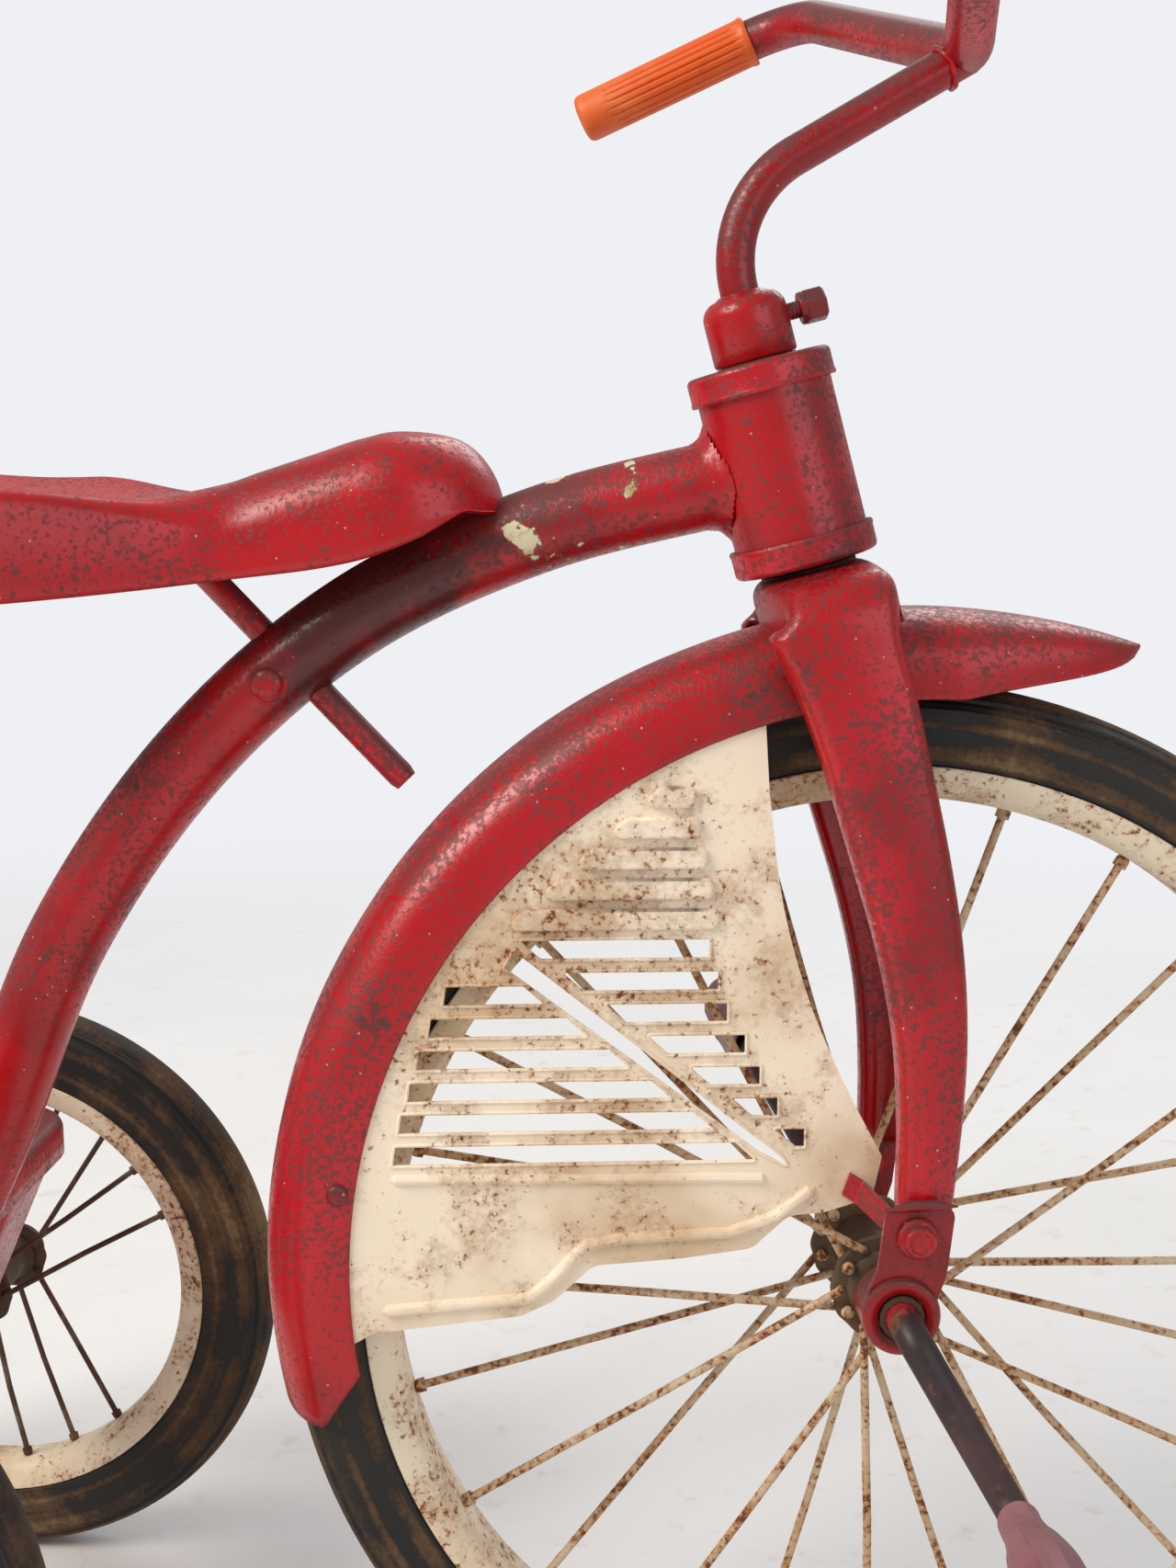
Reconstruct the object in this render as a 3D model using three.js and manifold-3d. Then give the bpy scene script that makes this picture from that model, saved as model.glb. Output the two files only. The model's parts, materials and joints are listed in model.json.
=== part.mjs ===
// Children's tricycle with a curved backbone, spoked wheels and a skirted front mudguard.
// Millimetres. +X is forward, +Y is the rider's left, +Z is up. Every position below is
// written with the ground at z = 0 and the front wheel's centre at x = 0, steered straight.
import * as THREE from 'three';
import { mergeVertices } from 'three/addons/utils/BufferGeometryUtils.js';
import Module from 'manifold-3d';

const wasm = await Module();
wasm.setup();

// ---- driving dimensions -------------------------------------------------------------
const GAP = 0.3; // clearance between pieces that seat on each other
const RUN = 1.0; // clearance beside pieces that turn
const deg = (d) => (d * Math.PI) / 180;

const FRONT_WHEEL_R = 203.2; // 16 in wheel
const FRONT_BEAD_R = 176; // where the tyre's side meets the rim
const FRONT_TYRE_HALF = 17;
const FRONT_SPOKE_R = 1.5;
const FRONT_SPOKES_PER_SIDE = 12;
const FRONT_FLANGE_R = 18.5;
const HUB_INSET = 22; // each front flange stands this far inside the fork
const HUB_BARREL_R = 11;

const REAR_WHEEL_R = 124; // 10 in wheel
const REAR_BEAD_R = 95;
const REAR_TYRE_HALF = 14;
const REAR_SPOKE_R = 1.25;
const REAR_SPOKES_PER_SIDE = 6;
const REAR_FLANGE_R = 15;
const REAR_FLANGE_Y = 22;
const REAR_AXLE_X = -372;
const REAR_HALF_TRACK = 140;
const REAR_AXLE_R = 5;

const HEAD_ANGLE = 15; // the steering axis leans back this far
const HEAD_OFFSET = 38; // steering axis ahead of the front hub, at hub height
const REST_STEER = 8.5; // the front wheel stands turned a little to the left
const HEAD_TUBE_R = 22.2;
const HEAD_TUBE_WALL = 2;
const HEAD_TUBE_FROM = 252; // along the steering axis, from hub height
const HEAD_TUBE_LENGTH = 64;
const HEAD_CAP_HEIGHT = 9.5;
const HEAD_CAP_WALL = 1.5;
const STEERER_R = 9.5;
const STEERER_WALL = 2.6;
const COLLAR_R = 13.8;
const COLLAR_HEIGHT = 22;

const STEM_R = 6.35;
const STEM_BEND_R = 38;
const STEM_RISE = 30; // degrees above level, where it runs forward
const BAR_R = 7.95;
const BAR_WALL = 1.5;
const BAR_BEND_R = 23;
const BAR_CENTRE = [23, 0, 608];
const BAR_KNEE = [-8, 163, 654];
const BAR_END = [-88, 181, 619];
const GRIP_R = 9.6;
const GRIP_LIP_R = 11.2;
const GRIP_LENGTH = 71;

const FORK_HALF = 44; // outside of each blade
const FRONT_FLANGE_Y = FORK_HALF - HUB_INSET;
const FORK_FLANGE = 13.5;
const FORK_WALL = 2;
const FORK_CROWN_AT = 243.5; // along the steering axis
const FORK_CROWN_RADIUS = 13;
const FORK_TOE_Z = 233;

const FENDER_CENTRE = [11, 211.5];
const FENDER_R = 219.5;
const FENDER_INSET = 16.5; // the mudguard runs this far inside the fork's outer faces
const FENDER_HALF = FORK_HALF - FENDER_INSET;
const FENDER_DEPTH = 29;
const FENDER_WALL = 1.2;
const SKIRT_WALL = 1;
const SKIRT_RIVET_AT = [-183, 240];
const SKIRT_RIVET_R = 1.9;

const AXLE_R = 5.5;
const BUSH_WALL = 1.6;
const EYE_R = 12.7;
const CRANK_THROW = 62;
const CRANK_ANGLE = 30; // right arm, ahead of straight down
const CRANK_SPLAY = 14; // each arm leans outward over its length
const CRANK_BEND_R = 11;
const PEDAL_LENGTH = 82;

const BACKBONE_R = 14.3; // 1-1/8 in tube
const BACKBONE_WALL = 1.6;
const SEAT_POST_R = 4.75; // 3/8 in rod
const SEAT_POST_ANGLE = 46; // below level, running down and forward
const SEAT_CLAMP_AT = [-201, 410];
const SEAT_NOSE_X = -128;
const SEAT_LENGTH = 268;
const SEAT_HALF = 96;
const SEAT_NOSE_HALF = 33;
const SEAT_TOP_Z = 489;
// How far the saddle's middle and its skirt's edge lie below SEAT_TOP_Z, by fraction of length.
const SADDLE_CREST_DROPS = [[0, 14], [0.03, 7], [0.085, 1], [0.125, 1], [0.23, 8], [0.36, 19],
  [0.5, 25], [0.7, 28], [0.85, 26], [1, 19]];
const SADDLE_EDGE_DROPS = [[0, 19], [0.045, 28], [0.1, 36], [0.18, 43], [0.28, 47], [0.57, 54], [1, 58]];
const SEAT_WALL = 1.2;
const SEAT_POST_DROP = 56; // post's length below the clamp
const BRACKET_WALL = 2;

const DECK_TOP_Z = 213;
const DECK_FRONT_X = -321;
const DECK_LENGTH = 122;
const DECK_HALF = 112;
const DECK_LIP = 15;
const DECK_WALL = 1.6;
const LEG_Y = 96; // outside face of each leg
const LEG_DEPTH = 66;

// How finely the round pieces are faceted.
const TUBE_SIDES = 12;
const FRONT_WHEEL_SIDES = 40;
const REAR_WHEEL_SIDES = 32;

// ---- materials ----------------------------------------------------------------------
const paint = (color, roughness, metalness) => new THREE.MeshStandardMaterial({ color, roughness,
  metalness });
const redPaint = paint(0xb3202c, 0.5, 0.2);
const creamPaint = paint(0xe8d2b4, 0.6, 0.1);
const tyreRubber = paint(0x26221e, 0.85, 0);
const orangePlastic = paint(0xe8642a, 0.45, 0);
const pedalRubber = paint(0x9a6868, 0.6, 0);
const bareSteel = paint(0x4a3b34, 0.6, 0.6);

// ---- solids -------------------------------------------------------------------------
function merged(geometry) {
  const plain = geometry.index ? geometry.toNonIndexed() : geometry.clone();
  plain.deleteAttribute('normal');
  plain.deleteAttribute('uv');
  return mergeVertices(plain, 1e-4);
}

// A geometry as a manifold solid, turned the right way out first.
function solid(geometry) {
  const g = merged(geometry);
  const p = g.attributes.position;
  const tri = Uint32Array.from(g.index.array);
  const kept = [];
  let volume = 0;
  for (let i = 0; i < tri.length; i += 3) {
    const [a, b, c] = [tri[i], tri[i + 1], tri[i + 2]];
    if (a === b || b === c || c === a) continue;
    kept.push(a, b, c);
    const va = new THREE.Vector3().fromBufferAttribute(p, a);
    const vb = new THREE.Vector3().fromBufferAttribute(p, b);
    const vc = new THREE.Vector3().fromBufferAttribute(p, c);
    volume += va.dot(vb.cross(vc));
  }
  if (volume < 0) kept.reverse();
  const mesh = new wasm.Mesh({
    numProp: 3,
    vertProperties: Float32Array.from(p.array),
    triVerts: Uint32Array.from(kept),
  });
  mesh.merge();
  return new wasm.Manifold(mesh);
}

function geometryOf(manifold) {
  const { vertProperties, triVerts } = manifold.getMesh();
  const g = new THREE.BufferGeometry();
  g.setAttribute('position', new THREE.BufferAttribute(vertProperties, 3));
  g.setIndex(new THREE.BufferAttribute(triVerts, 1));
  return g;
}

// Names a piece and hangs it in its group. Takes a geometry or a manifold solid.
function piece(group, name, shape, material) {
  const body = shape.isBufferGeometry ? solid(shape) : shape;
  const mesh = new THREE.Mesh(geometryOf(body), material);
  mesh.name = name;
  group.add(mesh);
  return mesh;
}

// A turned piece: profile points are [radius, height] about the Z axis.
function turned(profile, sides = 16) {
  const points = profile.map(([r, h]) => new THREE.Vector2(r, h));
  return new THREE.LatheGeometry(points, sides).rotateX(Math.PI / 2);
}

// The same, about the Y axis: profile points are [radius, y].
function turnedY(profile, sides = 16) {
  return turned(profile, sides).rotateX(-Math.PI / 2);
}

function ring(inner, outer, from, to, sides = 16) {
  return turned([[inner, from], [outer, from], [outer, to], [inner, to], [inner, from]], sides);
}

function ringY(inner, outer, from, to, sides = 16) {
  return turnedY([[inner, from], [outer, from], [outer, to], [inner, to], [inner, from]], sides);
}

function rod(radius, from, to, sides = 10) {
  return turned([[0, from], [radius, from], [radius, to], [0, to]], sides);
}

function rodY(radius, from, to, sides = 10) {
  return turnedY([[0, from], [radius, from], [radius, to], [0, to]], sides);
}

// An outline in the XZ plane, extruded along Y from y0 to y1.
function plateXZ(points, y0, y1, holes = []) {
  const shape = new THREE.Shape(points.map(([x, z]) => new THREE.Vector2(x, z)));
  for (const hole of holes) shape.holes.push(new THREE.Path(hole.map(([x, z]) => new THREE.Vector2(x,
    z))));
  const g = new THREE.ExtrudeGeometry(shape, { depth: y1 - y0, bevelEnabled: false });
  return g.rotateX(Math.PI / 2).translate(0, y1, 0);
}

// An outline in the YZ plane, extruded along X from x0 to x1.
function plateYZ(points, x0, x1) {
  const shape = new THREE.Shape(points.map(([y, z]) => new THREE.Vector2(y, z)));
  const g = new THREE.ExtrudeGeometry(shape, { depth: x1 - x0, bevelEnabled: false });
  return g.applyMatrix4(new THREE.Matrix4().set(0, 0, 1, x0, 1, 0, 0, 0, 0, 1, 0, 0, 0, 0, 0, 1));
}

// An outline in the XY plane, extruded along Z from z0 to z1.
function plateXY(points, z0, z1) {
  const shape = new THREE.Shape(points.map(([x, y]) => new THREE.Vector2(x, y)));
  return new THREE.ExtrudeGeometry(shape, { depth: z1 - z0, bevelEnabled: false }).translate(0, 0, z0);
}

// A line of straight runs joined by arcs, held as stations that a tube is swept through.
class BentLine extends THREE.Curve {
  constructor(corners, bendRadius, arcSteps = 5) {
    super();
    const points = corners.map((c) => new THREE.Vector3(...c));
    this.stations = [points[0]];
    this.tangents = [points[1].clone().sub(points[0]).normalize()];
    for (let i = 1; i < points.length - 1; i++) this.addArc(points[i - 1], points[i], points[i + 1],
      bendRadius, arcSteps);
    this.stations.push(points.at(-1));
    this.tangents.push(points.at(-1).clone().sub(points.at(-2)).normalize());
  }

  addArc(before, corner, after, radius, steps) {
    const into = corner.clone().sub(before).normalize();
    const out = after.clone().sub(corner).normalize();
    const turn = into.angleTo(out);
    const start = corner.clone().addScaledVector(into, -radius * Math.tan(turn / 2));
    const side = out.clone().addScaledVector(into, -out.dot(into)).normalize();
    for (let k = 0; k <= steps; k++) {
      const a = (turn * k) / steps;
      const p = start.clone().addScaledVector(into, radius * Math.sin(a));
      this.stations.push(p.addScaledVector(side, radius * (1 - Math.cos(a))));
      this.tangents.push(into.clone().multiplyScalar(Math.cos(a)).addScaledVector(side, Math.sin(a)));
    }
  }

  at(list, t) {
    return list[Math.round(t * (list.length - 1))].clone();
  }

  getPoint(t) {
    return this.at(this.stations, t);
  }

  getPointAt(t) {
    return this.at(this.stations, t);
  }

  getTangent(t) {
    return this.at(this.tangents, t);
  }

  getTangentAt(t) {
    return this.at(this.tangents, t);
  }
}

function sweep(line, radius, wall = 0, sides = TUBE_SIDES) {
  const shape = new THREE.Shape();
  const circle = (r) => Array.from({ length: sides }, (_, i) => {
    const a = (2 * Math.PI * i) / sides;
    return new THREE.Vector2(r * Math.cos(a), r * Math.sin(a));
  });
  shape.setFromPoints(circle(radius));
  if (wall > 0) shape.holes.push(new THREE.Path(circle(radius - wall)));
  return new THREE.ExtrudeGeometry(shape, { steps: line.stations.length - 1, extrudePath: line });
}

// A sheet between two grids of points with the same rows and columns. A closed sheet
// joins its last column to its first; capped rows have shrunk to a point.
function sheet(outer, inner, closed = false) {
  const rows = outer.length;
  const columns = outer[0].length;
  const position = [...outer.flat(), ...inner.flat()].flat();
  const index = [];
  const o = (i, j) => i * columns + (j % columns);
  const n = (i, j) => rows * columns + o(i, j);
  const quad = (a, b, c, d) => index.push(a, b, c, a, c, d);
  const across = closed ? columns : columns - 1;
  for (let i = 0; i < rows - 1; i++) {
    for (let j = 0; j < across; j++) {
      quad(o(i, j), o(i, j + 1), o(i + 1, j + 1), o(i + 1, j));
      quad(n(i, j), n(i + 1, j), n(i + 1, j + 1), n(i, j + 1));
    }
    if (!closed) {
      quad(o(i, 0), o(i + 1, 0), n(i + 1, 0), n(i, 0));
      quad(o(i, columns - 1), n(i, columns - 1), n(i + 1, columns - 1), o(i + 1, columns - 1));
    }
  }
  for (let j = 0; j < across; j++) {
    if (!closed) quad(o(0, j), n(0, j), n(0, j + 1), o(0, j + 1));
    quad(o(rows - 1, j), o(rows - 1, j + 1), n(rows - 1, j + 1), n(rows - 1, j));
  }
  const g = new THREE.BufferGeometry();
  g.setAttribute('position', new THREE.Float32BufferAttribute(position, 3));
  g.setIndex(index);
  return g;
}

const hexagon = (r) => Array.from({ length: 6 },
  (_, i) => [r * Math.cos(deg(60 * i)), r * Math.sin(deg(60 * i))]);
const union = (list) => list.reduce((a, b) => a.add(b));
const sides = [['left', 1], ['right', -1]];

// ---- the steering axis --------------------------------------------------------------
// `head` has its Z along the steering axis. `steering` turns inside it, and `upright`
// undoes the lean, so pieces in it are written in the straight-ahead coordinates above.
const root = new THREE.Group();
const frame = new THREE.Group();
const head = new THREE.Group();
head.position.set(HEAD_OFFSET, 0, FRONT_WHEEL_R);
head.rotation.y = -deg(HEAD_ANGLE);
const steering = new THREE.Group();
steering.rotation.z = deg(REST_STEER);
const untilt = new THREE.Group();
untilt.rotation.y = deg(HEAD_ANGLE);
const upright = new THREE.Group();
upright.position.set(-HEAD_OFFSET, 0, -FRONT_WHEEL_R);
root.add(frame, head);
head.add(steering);
steering.add(untilt);
untilt.add(upright);

const alongHead = (s) => [HEAD_OFFSET - s * Math.sin(deg(HEAD_ANGLE)), 0,
  FRONT_WHEEL_R + s * Math.cos(deg(HEAD_ANGLE))];

// A solid written about the head axis, moved into the straight-ahead coordinates.
function inUpright(shape) {
  const lean = shape.rotate([0, -HEAD_ANGLE, 0]);
  return lean.translate([HEAD_OFFSET, 0, FRONT_WHEEL_R]);
}

// ---- head ---------------------------------------------------------------------------
const HEAD_TUBE_TO = HEAD_TUBE_FROM + HEAD_TUBE_LENGTH;
const BUSH_R = HEAD_TUBE_R - HEAD_TUBE_WALL - GAP;

function headPieces() {
  piece(head, 'head_tube', ring(HEAD_TUBE_R - HEAD_TUBE_WALL, HEAD_TUBE_R, HEAD_TUBE_FROM, HEAD_TUBE_TO,
    20), redPaint);
  const cap = (end, way) => {
    const bore = STEERER_R + RUN;
    const inner = HEAD_TUBE_R + GAP;
    const outer = inner + HEAD_CAP_WALL;
    const face = end + way * GAP;
    const top = face + way * HEAD_CAP_WALL;
    const skirt = top - way * HEAD_CAP_HEIGHT;
    const profile = [[bore, face], [inner, face], [inner, skirt], [outer, skirt], [outer, top - way],
      [outer - 1, top], [bore, top], [bore, face]];
    return turned(profile, 20);
  };
  piece(head, 'upper_head_cap', cap(HEAD_TUBE_TO, 1), redPaint);
  piece(head, 'lower_head_cap', cap(HEAD_TUBE_FROM, -1), redPaint);
  const bushDepth = 12;
  piece(head, 'upper_head_bush', ring(STEERER_R + GAP, BUSH_R, HEAD_TUBE_TO - bushDepth, HEAD_TUBE_TO,
    14), bareSteel);
  piece(head, 'lower_head_bush', ring(STEERER_R + GAP, BUSH_R, HEAD_TUBE_FROM,
    HEAD_TUBE_FROM + bushDepth, 14), bareSteel);
}

// ---- backbone and rear frame --------------------------------------------------------
const BACKBONE_LINE = [[-40, 475], [-118, 455], [-181, 425], [-236, 378], [-283, 313], [-318, 232]];

class BackboneCurve extends THREE.CatmullRomCurve3 {
  constructor() {
    const points = BACKBONE_LINE.map(([x, z]) => new THREE.Vector3(x, 0, z));
    points.push(new THREE.Vector3(REAR_AXLE_X, 0, REAR_WHEEL_R));
    super(points);
  }
}

function backboneSweep(radius, wall) {
  const section = circleShape(radius, wall, TUBE_SIDES);
  return new THREE.ExtrudeGeometry(section, { steps: 13, extrudePath: new BackboneCurve() });
}

// A rod along the seat post's line; positions run down and forward from the clamp.
function alongPost(radius, from, to, count = 12) {
  const g = rod(radius, from, to, count);
  g.rotateY(deg(90 + SEAT_POST_ANGLE));
  return g.translate(SEAT_CLAMP_AT[0], 0, SEAT_CLAMP_AT[1]);
}

const SLEEVE_R = REAR_AXLE_R + 5;
const SLEEVE_HALF = LEG_Y - LEG_DEPTH - GAP;
const CLAMP_BOLT_R = 3;
const CLAMP_HEAD_R = 5.5;

function backbonePieces() {
  const tube = backboneSweep(BACKBONE_R, BACKBONE_WALL);
  const headBore = inUprightFrame(rod(HEAD_TUBE_R + GAP, HEAD_TUBE_FROM - 30, HEAD_TUBE_TO + 30, 20));
  const sleeveBore = solid(rodY(SLEEVE_R + GAP, -60, 60, 14).translate(REAR_AXLE_X, 0, REAR_WHEEL_R));
  const postBore = solid(alongPost(SEAT_POST_R + GAP, -60, 60));
  const boltBore = solid(rodY(CLAMP_BOLT_R + GAP, -40, 40, 12).translate(CLAMP_BOLT_AT[0], 0,
    CLAMP_BOLT_AT[1]));
  let body = solid(tube).subtract(headBore).subtract(sleeveBore).subtract(postBore).subtract(boltBore);
  body = largest(body);
  piece(frame, 'backbone_tube', body, redPaint);

  const bolt = solid(rodY(CLAMP_BOLT_R, -BACKBONE_R - 1, BACKBONE_R + 6,
    12)).add(solid(turnedY([[0, 0], [CLAMP_HEAD_R - 1, 0], [CLAMP_HEAD_R, 1], [CLAMP_HEAD_R, 3.4],
    [0, 3.4]], 18).translate(0, -BACKBONE_R - 4, 0)));
  piece(frame, 'seat_clamp_bolt', bolt.translate([CLAMP_BOLT_AT[0], 0, CLAMP_BOLT_AT[1]]), redPaint);
  const nut = solid(plateXZ(hexagon(6), BACKBONE_R + GAP, BACKBONE_R + 4.5,
    [circlePoints(CLAMP_BOLT_R + GAP, 12)]));
  piece(frame, 'seat_clamp_nut', nut.translate([CLAMP_BOLT_AT[0], 0, CLAMP_BOLT_AT[1]]), redPaint);
}

// The bolt pinches the post from behind, clear of it.
const CLAMP_BOLT_AT = [
  SEAT_CLAMP_AT[0] - (SEAT_POST_R + CLAMP_BOLT_R + GAP) * Math.sin(deg(SEAT_POST_ANGLE)),
  SEAT_CLAMP_AT[1] - (SEAT_POST_R + CLAMP_BOLT_R + GAP) * Math.cos(deg(SEAT_POST_ANGLE)),
];

function circlePoints(radius, count, cx = 0, cz = 0) {
  return Array.from({ length: count }, (_, i) => [cx + radius * Math.cos((2 * Math.PI * i) / count),
    cz + radius * Math.sin((2 * Math.PI * i) / count)]);
}

function circleShape(radius, wall, count) {
  const shape = new THREE.Shape(circlePoints(radius, count).map(([x, y]) => new THREE.Vector2(x, y)));
  if (wall > 0) shape.holes.push(new THREE.Path(circlePoints(radius - wall,
    count).map(([x, y]) => new THREE.Vector2(x, y))));
  return shape;
}

function inUprightFrame(geometry) {
  return inUpright(solid(geometry));
}

// The biggest body left after a cut.
function largest(manifold) {
  return manifold.decompose().reduce((a, b) => (b.volume() > a.volume() ? b : a));
}

// A rounded rectangle, as points.
function roundedRectangle(x0, x1, y0, y1, r, steps = 4) {
  const corners = [[x1 - r, y1 - r, 0], [x0 + r, y1 - r, 90], [x0 + r, y0 + r, 180],
    [x1 - r, y0 + r, 270]];
  return corners.flatMap(([cx, cy, a0]) => Array.from({ length: steps + 1 }, (_, k) => {
    const a = deg(a0 + (90 * k) / steps);
    return [cx + r * Math.cos(a), cy + r * Math.sin(a)];
  }));
}

// The leg's side outline: wide under the deck, tapering to a round end about the axle.
function legOutline(inset) {
  const top = DECK_TOP_Z - DECK_WALL - GAP;
  const front = DECK_FRONT_X - 6 - inset;
  const back = DECK_FRONT_X - DECK_LENGTH + 26 + inset;
  const foot = 17 - inset;
  const points = [[back, top], [front, top], [front - 3, top - 22]];
  for (let k = 0; k <= 8; k++) {
    const a = deg(20 - (220 * k) / 8);
    points.push([REAR_AXLE_X + foot * Math.cos(a), REAR_WHEEL_R + foot * Math.sin(a)]);
  }
  return points;
}

function rearFramePieces() {
  const backX = DECK_FRONT_X - DECK_LENGTH;
  const outer = solid(plateXY(roundedRectangle(backX, DECK_FRONT_X, -DECK_HALF, DECK_HALF, 26),
    DECK_TOP_Z - DECK_LIP, DECK_TOP_Z));
  const hollow = solid(plateXY(roundedRectangle(backX + DECK_WALL, DECK_FRONT_X - DECK_WALL,
    -DECK_HALF + DECK_WALL, DECK_HALF - DECK_WALL, 24.4), DECK_TOP_Z - DECK_LIP - 1, DECK_TOP_Z - DECK_WALL));
  const core = solid(backboneSweep(BACKBONE_R + GAP, 0));
  let deck = outer.subtract(hollow).subtract(core);
  const ribHeight = 1.6;
  for (const y of [-84, -63, -42, 42, 63, 84]) {
    deck = deck.add(solid(plateXY(roundedRectangle(backX + 18, DECK_FRONT_X - 18, y - 4, y + 4, 3.9, 3),
      DECK_TOP_Z - 0.5, DECK_TOP_Z + ribHeight)));
  }
  piece(frame, 'step_deck', deck, redPaint);

  for (const [name, way] of sides) {
    const face = way * LEG_Y;
    const inside = way * (LEG_Y - LEG_DEPTH);
    const [y0, y1] = [Math.min(face, inside), Math.max(face, inside)];
    const shell = solid(plateXZ(legOutline(0), y0, y1));
    const cut = solid(plateXZ(legOutline(DECK_WALL), way > 0 ? y0 - 1 : y0 + DECK_WALL,
      way > 0 ? y1 - DECK_WALL : y1 + 1));
    const bore = solid(rodY(REAR_AXLE_R + GAP, -LEG_Y - 5, LEG_Y + 5, 16).translate(REAR_AXLE_X, 0,
      REAR_WHEEL_R));
    piece(frame, `${name}_axle_leg`, shell.subtract(cut).subtract(bore), redPaint);
  }
  piece(frame, 'axle_sleeve', solid(ringY(REAR_AXLE_R + GAP, SLEEVE_R, -SLEEVE_HALF, SLEEVE_HALF,
    14)).translate([REAR_AXLE_X, 0, REAR_WHEEL_R]), redPaint);
  const tip = REAR_HALF_TRACK + REAR_FLANGE_Y + 11;
  piece(frame, 'rear_axle', rodY(REAR_AXLE_R, -tip, tip, 16).translate(REAR_AXLE_X, 0, REAR_WHEEL_R),
    bareSteel);
}

// ---- seat ---------------------------------------------------------------------------
// Half-width of the saddle at a fraction of its length, nose first.
function saddleHalf(t) {
  const swell = THREE.MathUtils.smoothstep(t, 0.3, 0.8);
  const body = SEAT_NOSE_HALF + (SEAT_HALF - SEAT_NOSE_HALF) * swell;
  const noseRound = Math.sqrt(Math.max(0, 1 - ((0.13 - Math.min(t, 0.13)) / 0.13) ** 2));
  const tailRound = Math.sqrt(Math.max(0, 1 - ((Math.max(t, 0.78) - 0.78) / 0.22) ** 2));
  return body * Math.min(noseRound, tailRound);
}

// Reads a table of [fraction of length, height] with straight runs between its rows.
function fromTable(table, t) {
  const i = Math.max(1, table.findIndex((row) => row[0] >= t));
  const [t0, low] = table[i - 1];
  const [t1, high] = table[i];
  return low + ((high - low) * (t - t0)) / (t1 - t0);
}

// Height of the saddle's upper face along its middle.
const saddleCrest = (t) => SEAT_TOP_Z - fromTable(SADDLE_CREST_DROPS, t);

// Height of the skirt's lower edge.
const saddleEdge = (t) => SEAT_TOP_Z - fromTable(SADDLE_EDGE_DROPS, t);

function saddleGrid(inset) {
  const rowCount = 16;
  const across = [-1, -0.98, -0.9, -0.72, -0.4, 0, 0.4, 0.72, 0.9, 0.98, 1];
  const rows = [];
  for (let i = 0; i <= rowCount; i++) {
    const t = 0.5 - 0.5 * Math.cos((Math.PI * i) / rowCount);
    const half = Math.max(0.28 * saddleHalf(0.5), saddleHalf(t)) - inset;
    const dish = 6 * THREE.MathUtils.smoothstep(t, 0.3, 0.7);
    const camber = 7 * (1 - THREE.MathUtils.smoothstep(t, 0.25, 0.55));
    const x = SEAT_NOSE_X - inset - t * (SEAT_LENGTH - 2 * inset);
    rows.push(across.map((a) => {
      const edge = Math.abs(a);
      const y = half * Math.sign(a) * Math.sqrt(1 - (1 - Math.min(1, edge / 0.98)) ** 1.6);
      const shoulder = saddleCrest(t) + (dish - camber) * Math.min(1, edge / 0.9) ** 2 - inset;
      if (edge <= 0.9) {
        return [x, y, shoulder];
      }
      const roll = (edge - 0.9) / 0.1;
      return [x, y, Math.min(shoulder, shoulder + (saddleEdge(t) - shoulder) * roll)];
    }));
  }
  // the skirt carries on round the nose and the tail
  const lowered = (row) => row.map(([x, y]) => [x, y, row[0][2]]);
  return [lowered(rows[0]), ...rows, lowered(rows.at(-1))];
}

function seatPieces() {
  piece(frame, 'seat_pan', sheet(saddleGrid(0), saddleGrid(SEAT_WALL)), redPaint);
  const [dx, dz] = [Math.cos(deg(SEAT_POST_ANGLE)), Math.sin(deg(SEAT_POST_ANGLE))];
  const along = (d) => [SEAT_CLAMP_AT[0] + d * dx, 0, SEAT_CLAMP_AT[1] - d * dz];
  const bracketTop = saddleCrest(0.7) - SEAT_WALL - GAP;
  const runZ = bracketTop - BRACKET_WALL - GAP - SEAT_POST_R;
  const corner = along((SEAT_CLAMP_AT[1] - runZ) / dz);
  const tail = [corner[0] - 52, 0, runZ];
  piece(frame, 'seat_post', sweep(new BentLine([along(SEAT_POST_DROP), corner, tail], 14, 4),
    SEAT_POST_R, 0, 10), redPaint);
  const strap = roundedRectangle(corner[0] - 60, corner[0] - 22, -17, 17, 6);
  piece(frame, 'seat_bracket', plateXY(strap, bracketTop - BRACKET_WALL, bracketTop), bareSteel);
}

// ---- fork and its fittings ----------------------------------------------------------
// Side outline of a blade: [height, rear edge x, front edge x] from crown to toe.
const BLADE = [
  [446, -50, -6], [425, -46, -3], [404, -35, 3], [383, -27, 8], [352, -17, 15],
  [322, -8, 20], [293, -2, 22], [265, 0, 21], [FORK_TOE_Z, 0, 18],
];

function bladeOutline(inset, extraDown) {
  const rear = BLADE.map(([z, a]) => [a + inset, z]);
  const front = BLADE.map(([z, , b]) => [b - inset, z]).reverse();
  const outline = [...rear, ...front];
  const toe = BLADE.length - 1;
  outline[toe] = [outline[toe][0], FORK_TOE_Z - extraDown];
  outline[toe + 1] = [outline[toe + 1][0], FORK_TOE_Z - extraDown];
  return outline;
}

// Front view of the fork, an arch with rounded shoulders, shrunk by `inset`.
function forkArch(inset, topInset = inset, down = 0) {
  const half = FORK_HALF - inset;
  const top = FORK_CROWN_AT - topInset;
  const r = Math.max(3, FORK_CROWN_RADIUS - inset);
  const bottom = -60 - down;
  const points = [[-half, bottom], [half, bottom]];
  for (let k = 0; k <= 4; k++) points.push([half - r + r * Math.cos(deg(22.5 * k)),
    top - r + r * Math.sin(deg(22.5 * k))]);
  for (let k = 4; k >= 0; k--) points.push([-half + r - r * Math.cos(deg(22.5 * k)),
    top - r + r * Math.sin(deg(22.5 * k))]);
  return inUpright(solid(plateYZ(points, -200, 200)));
}

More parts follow.
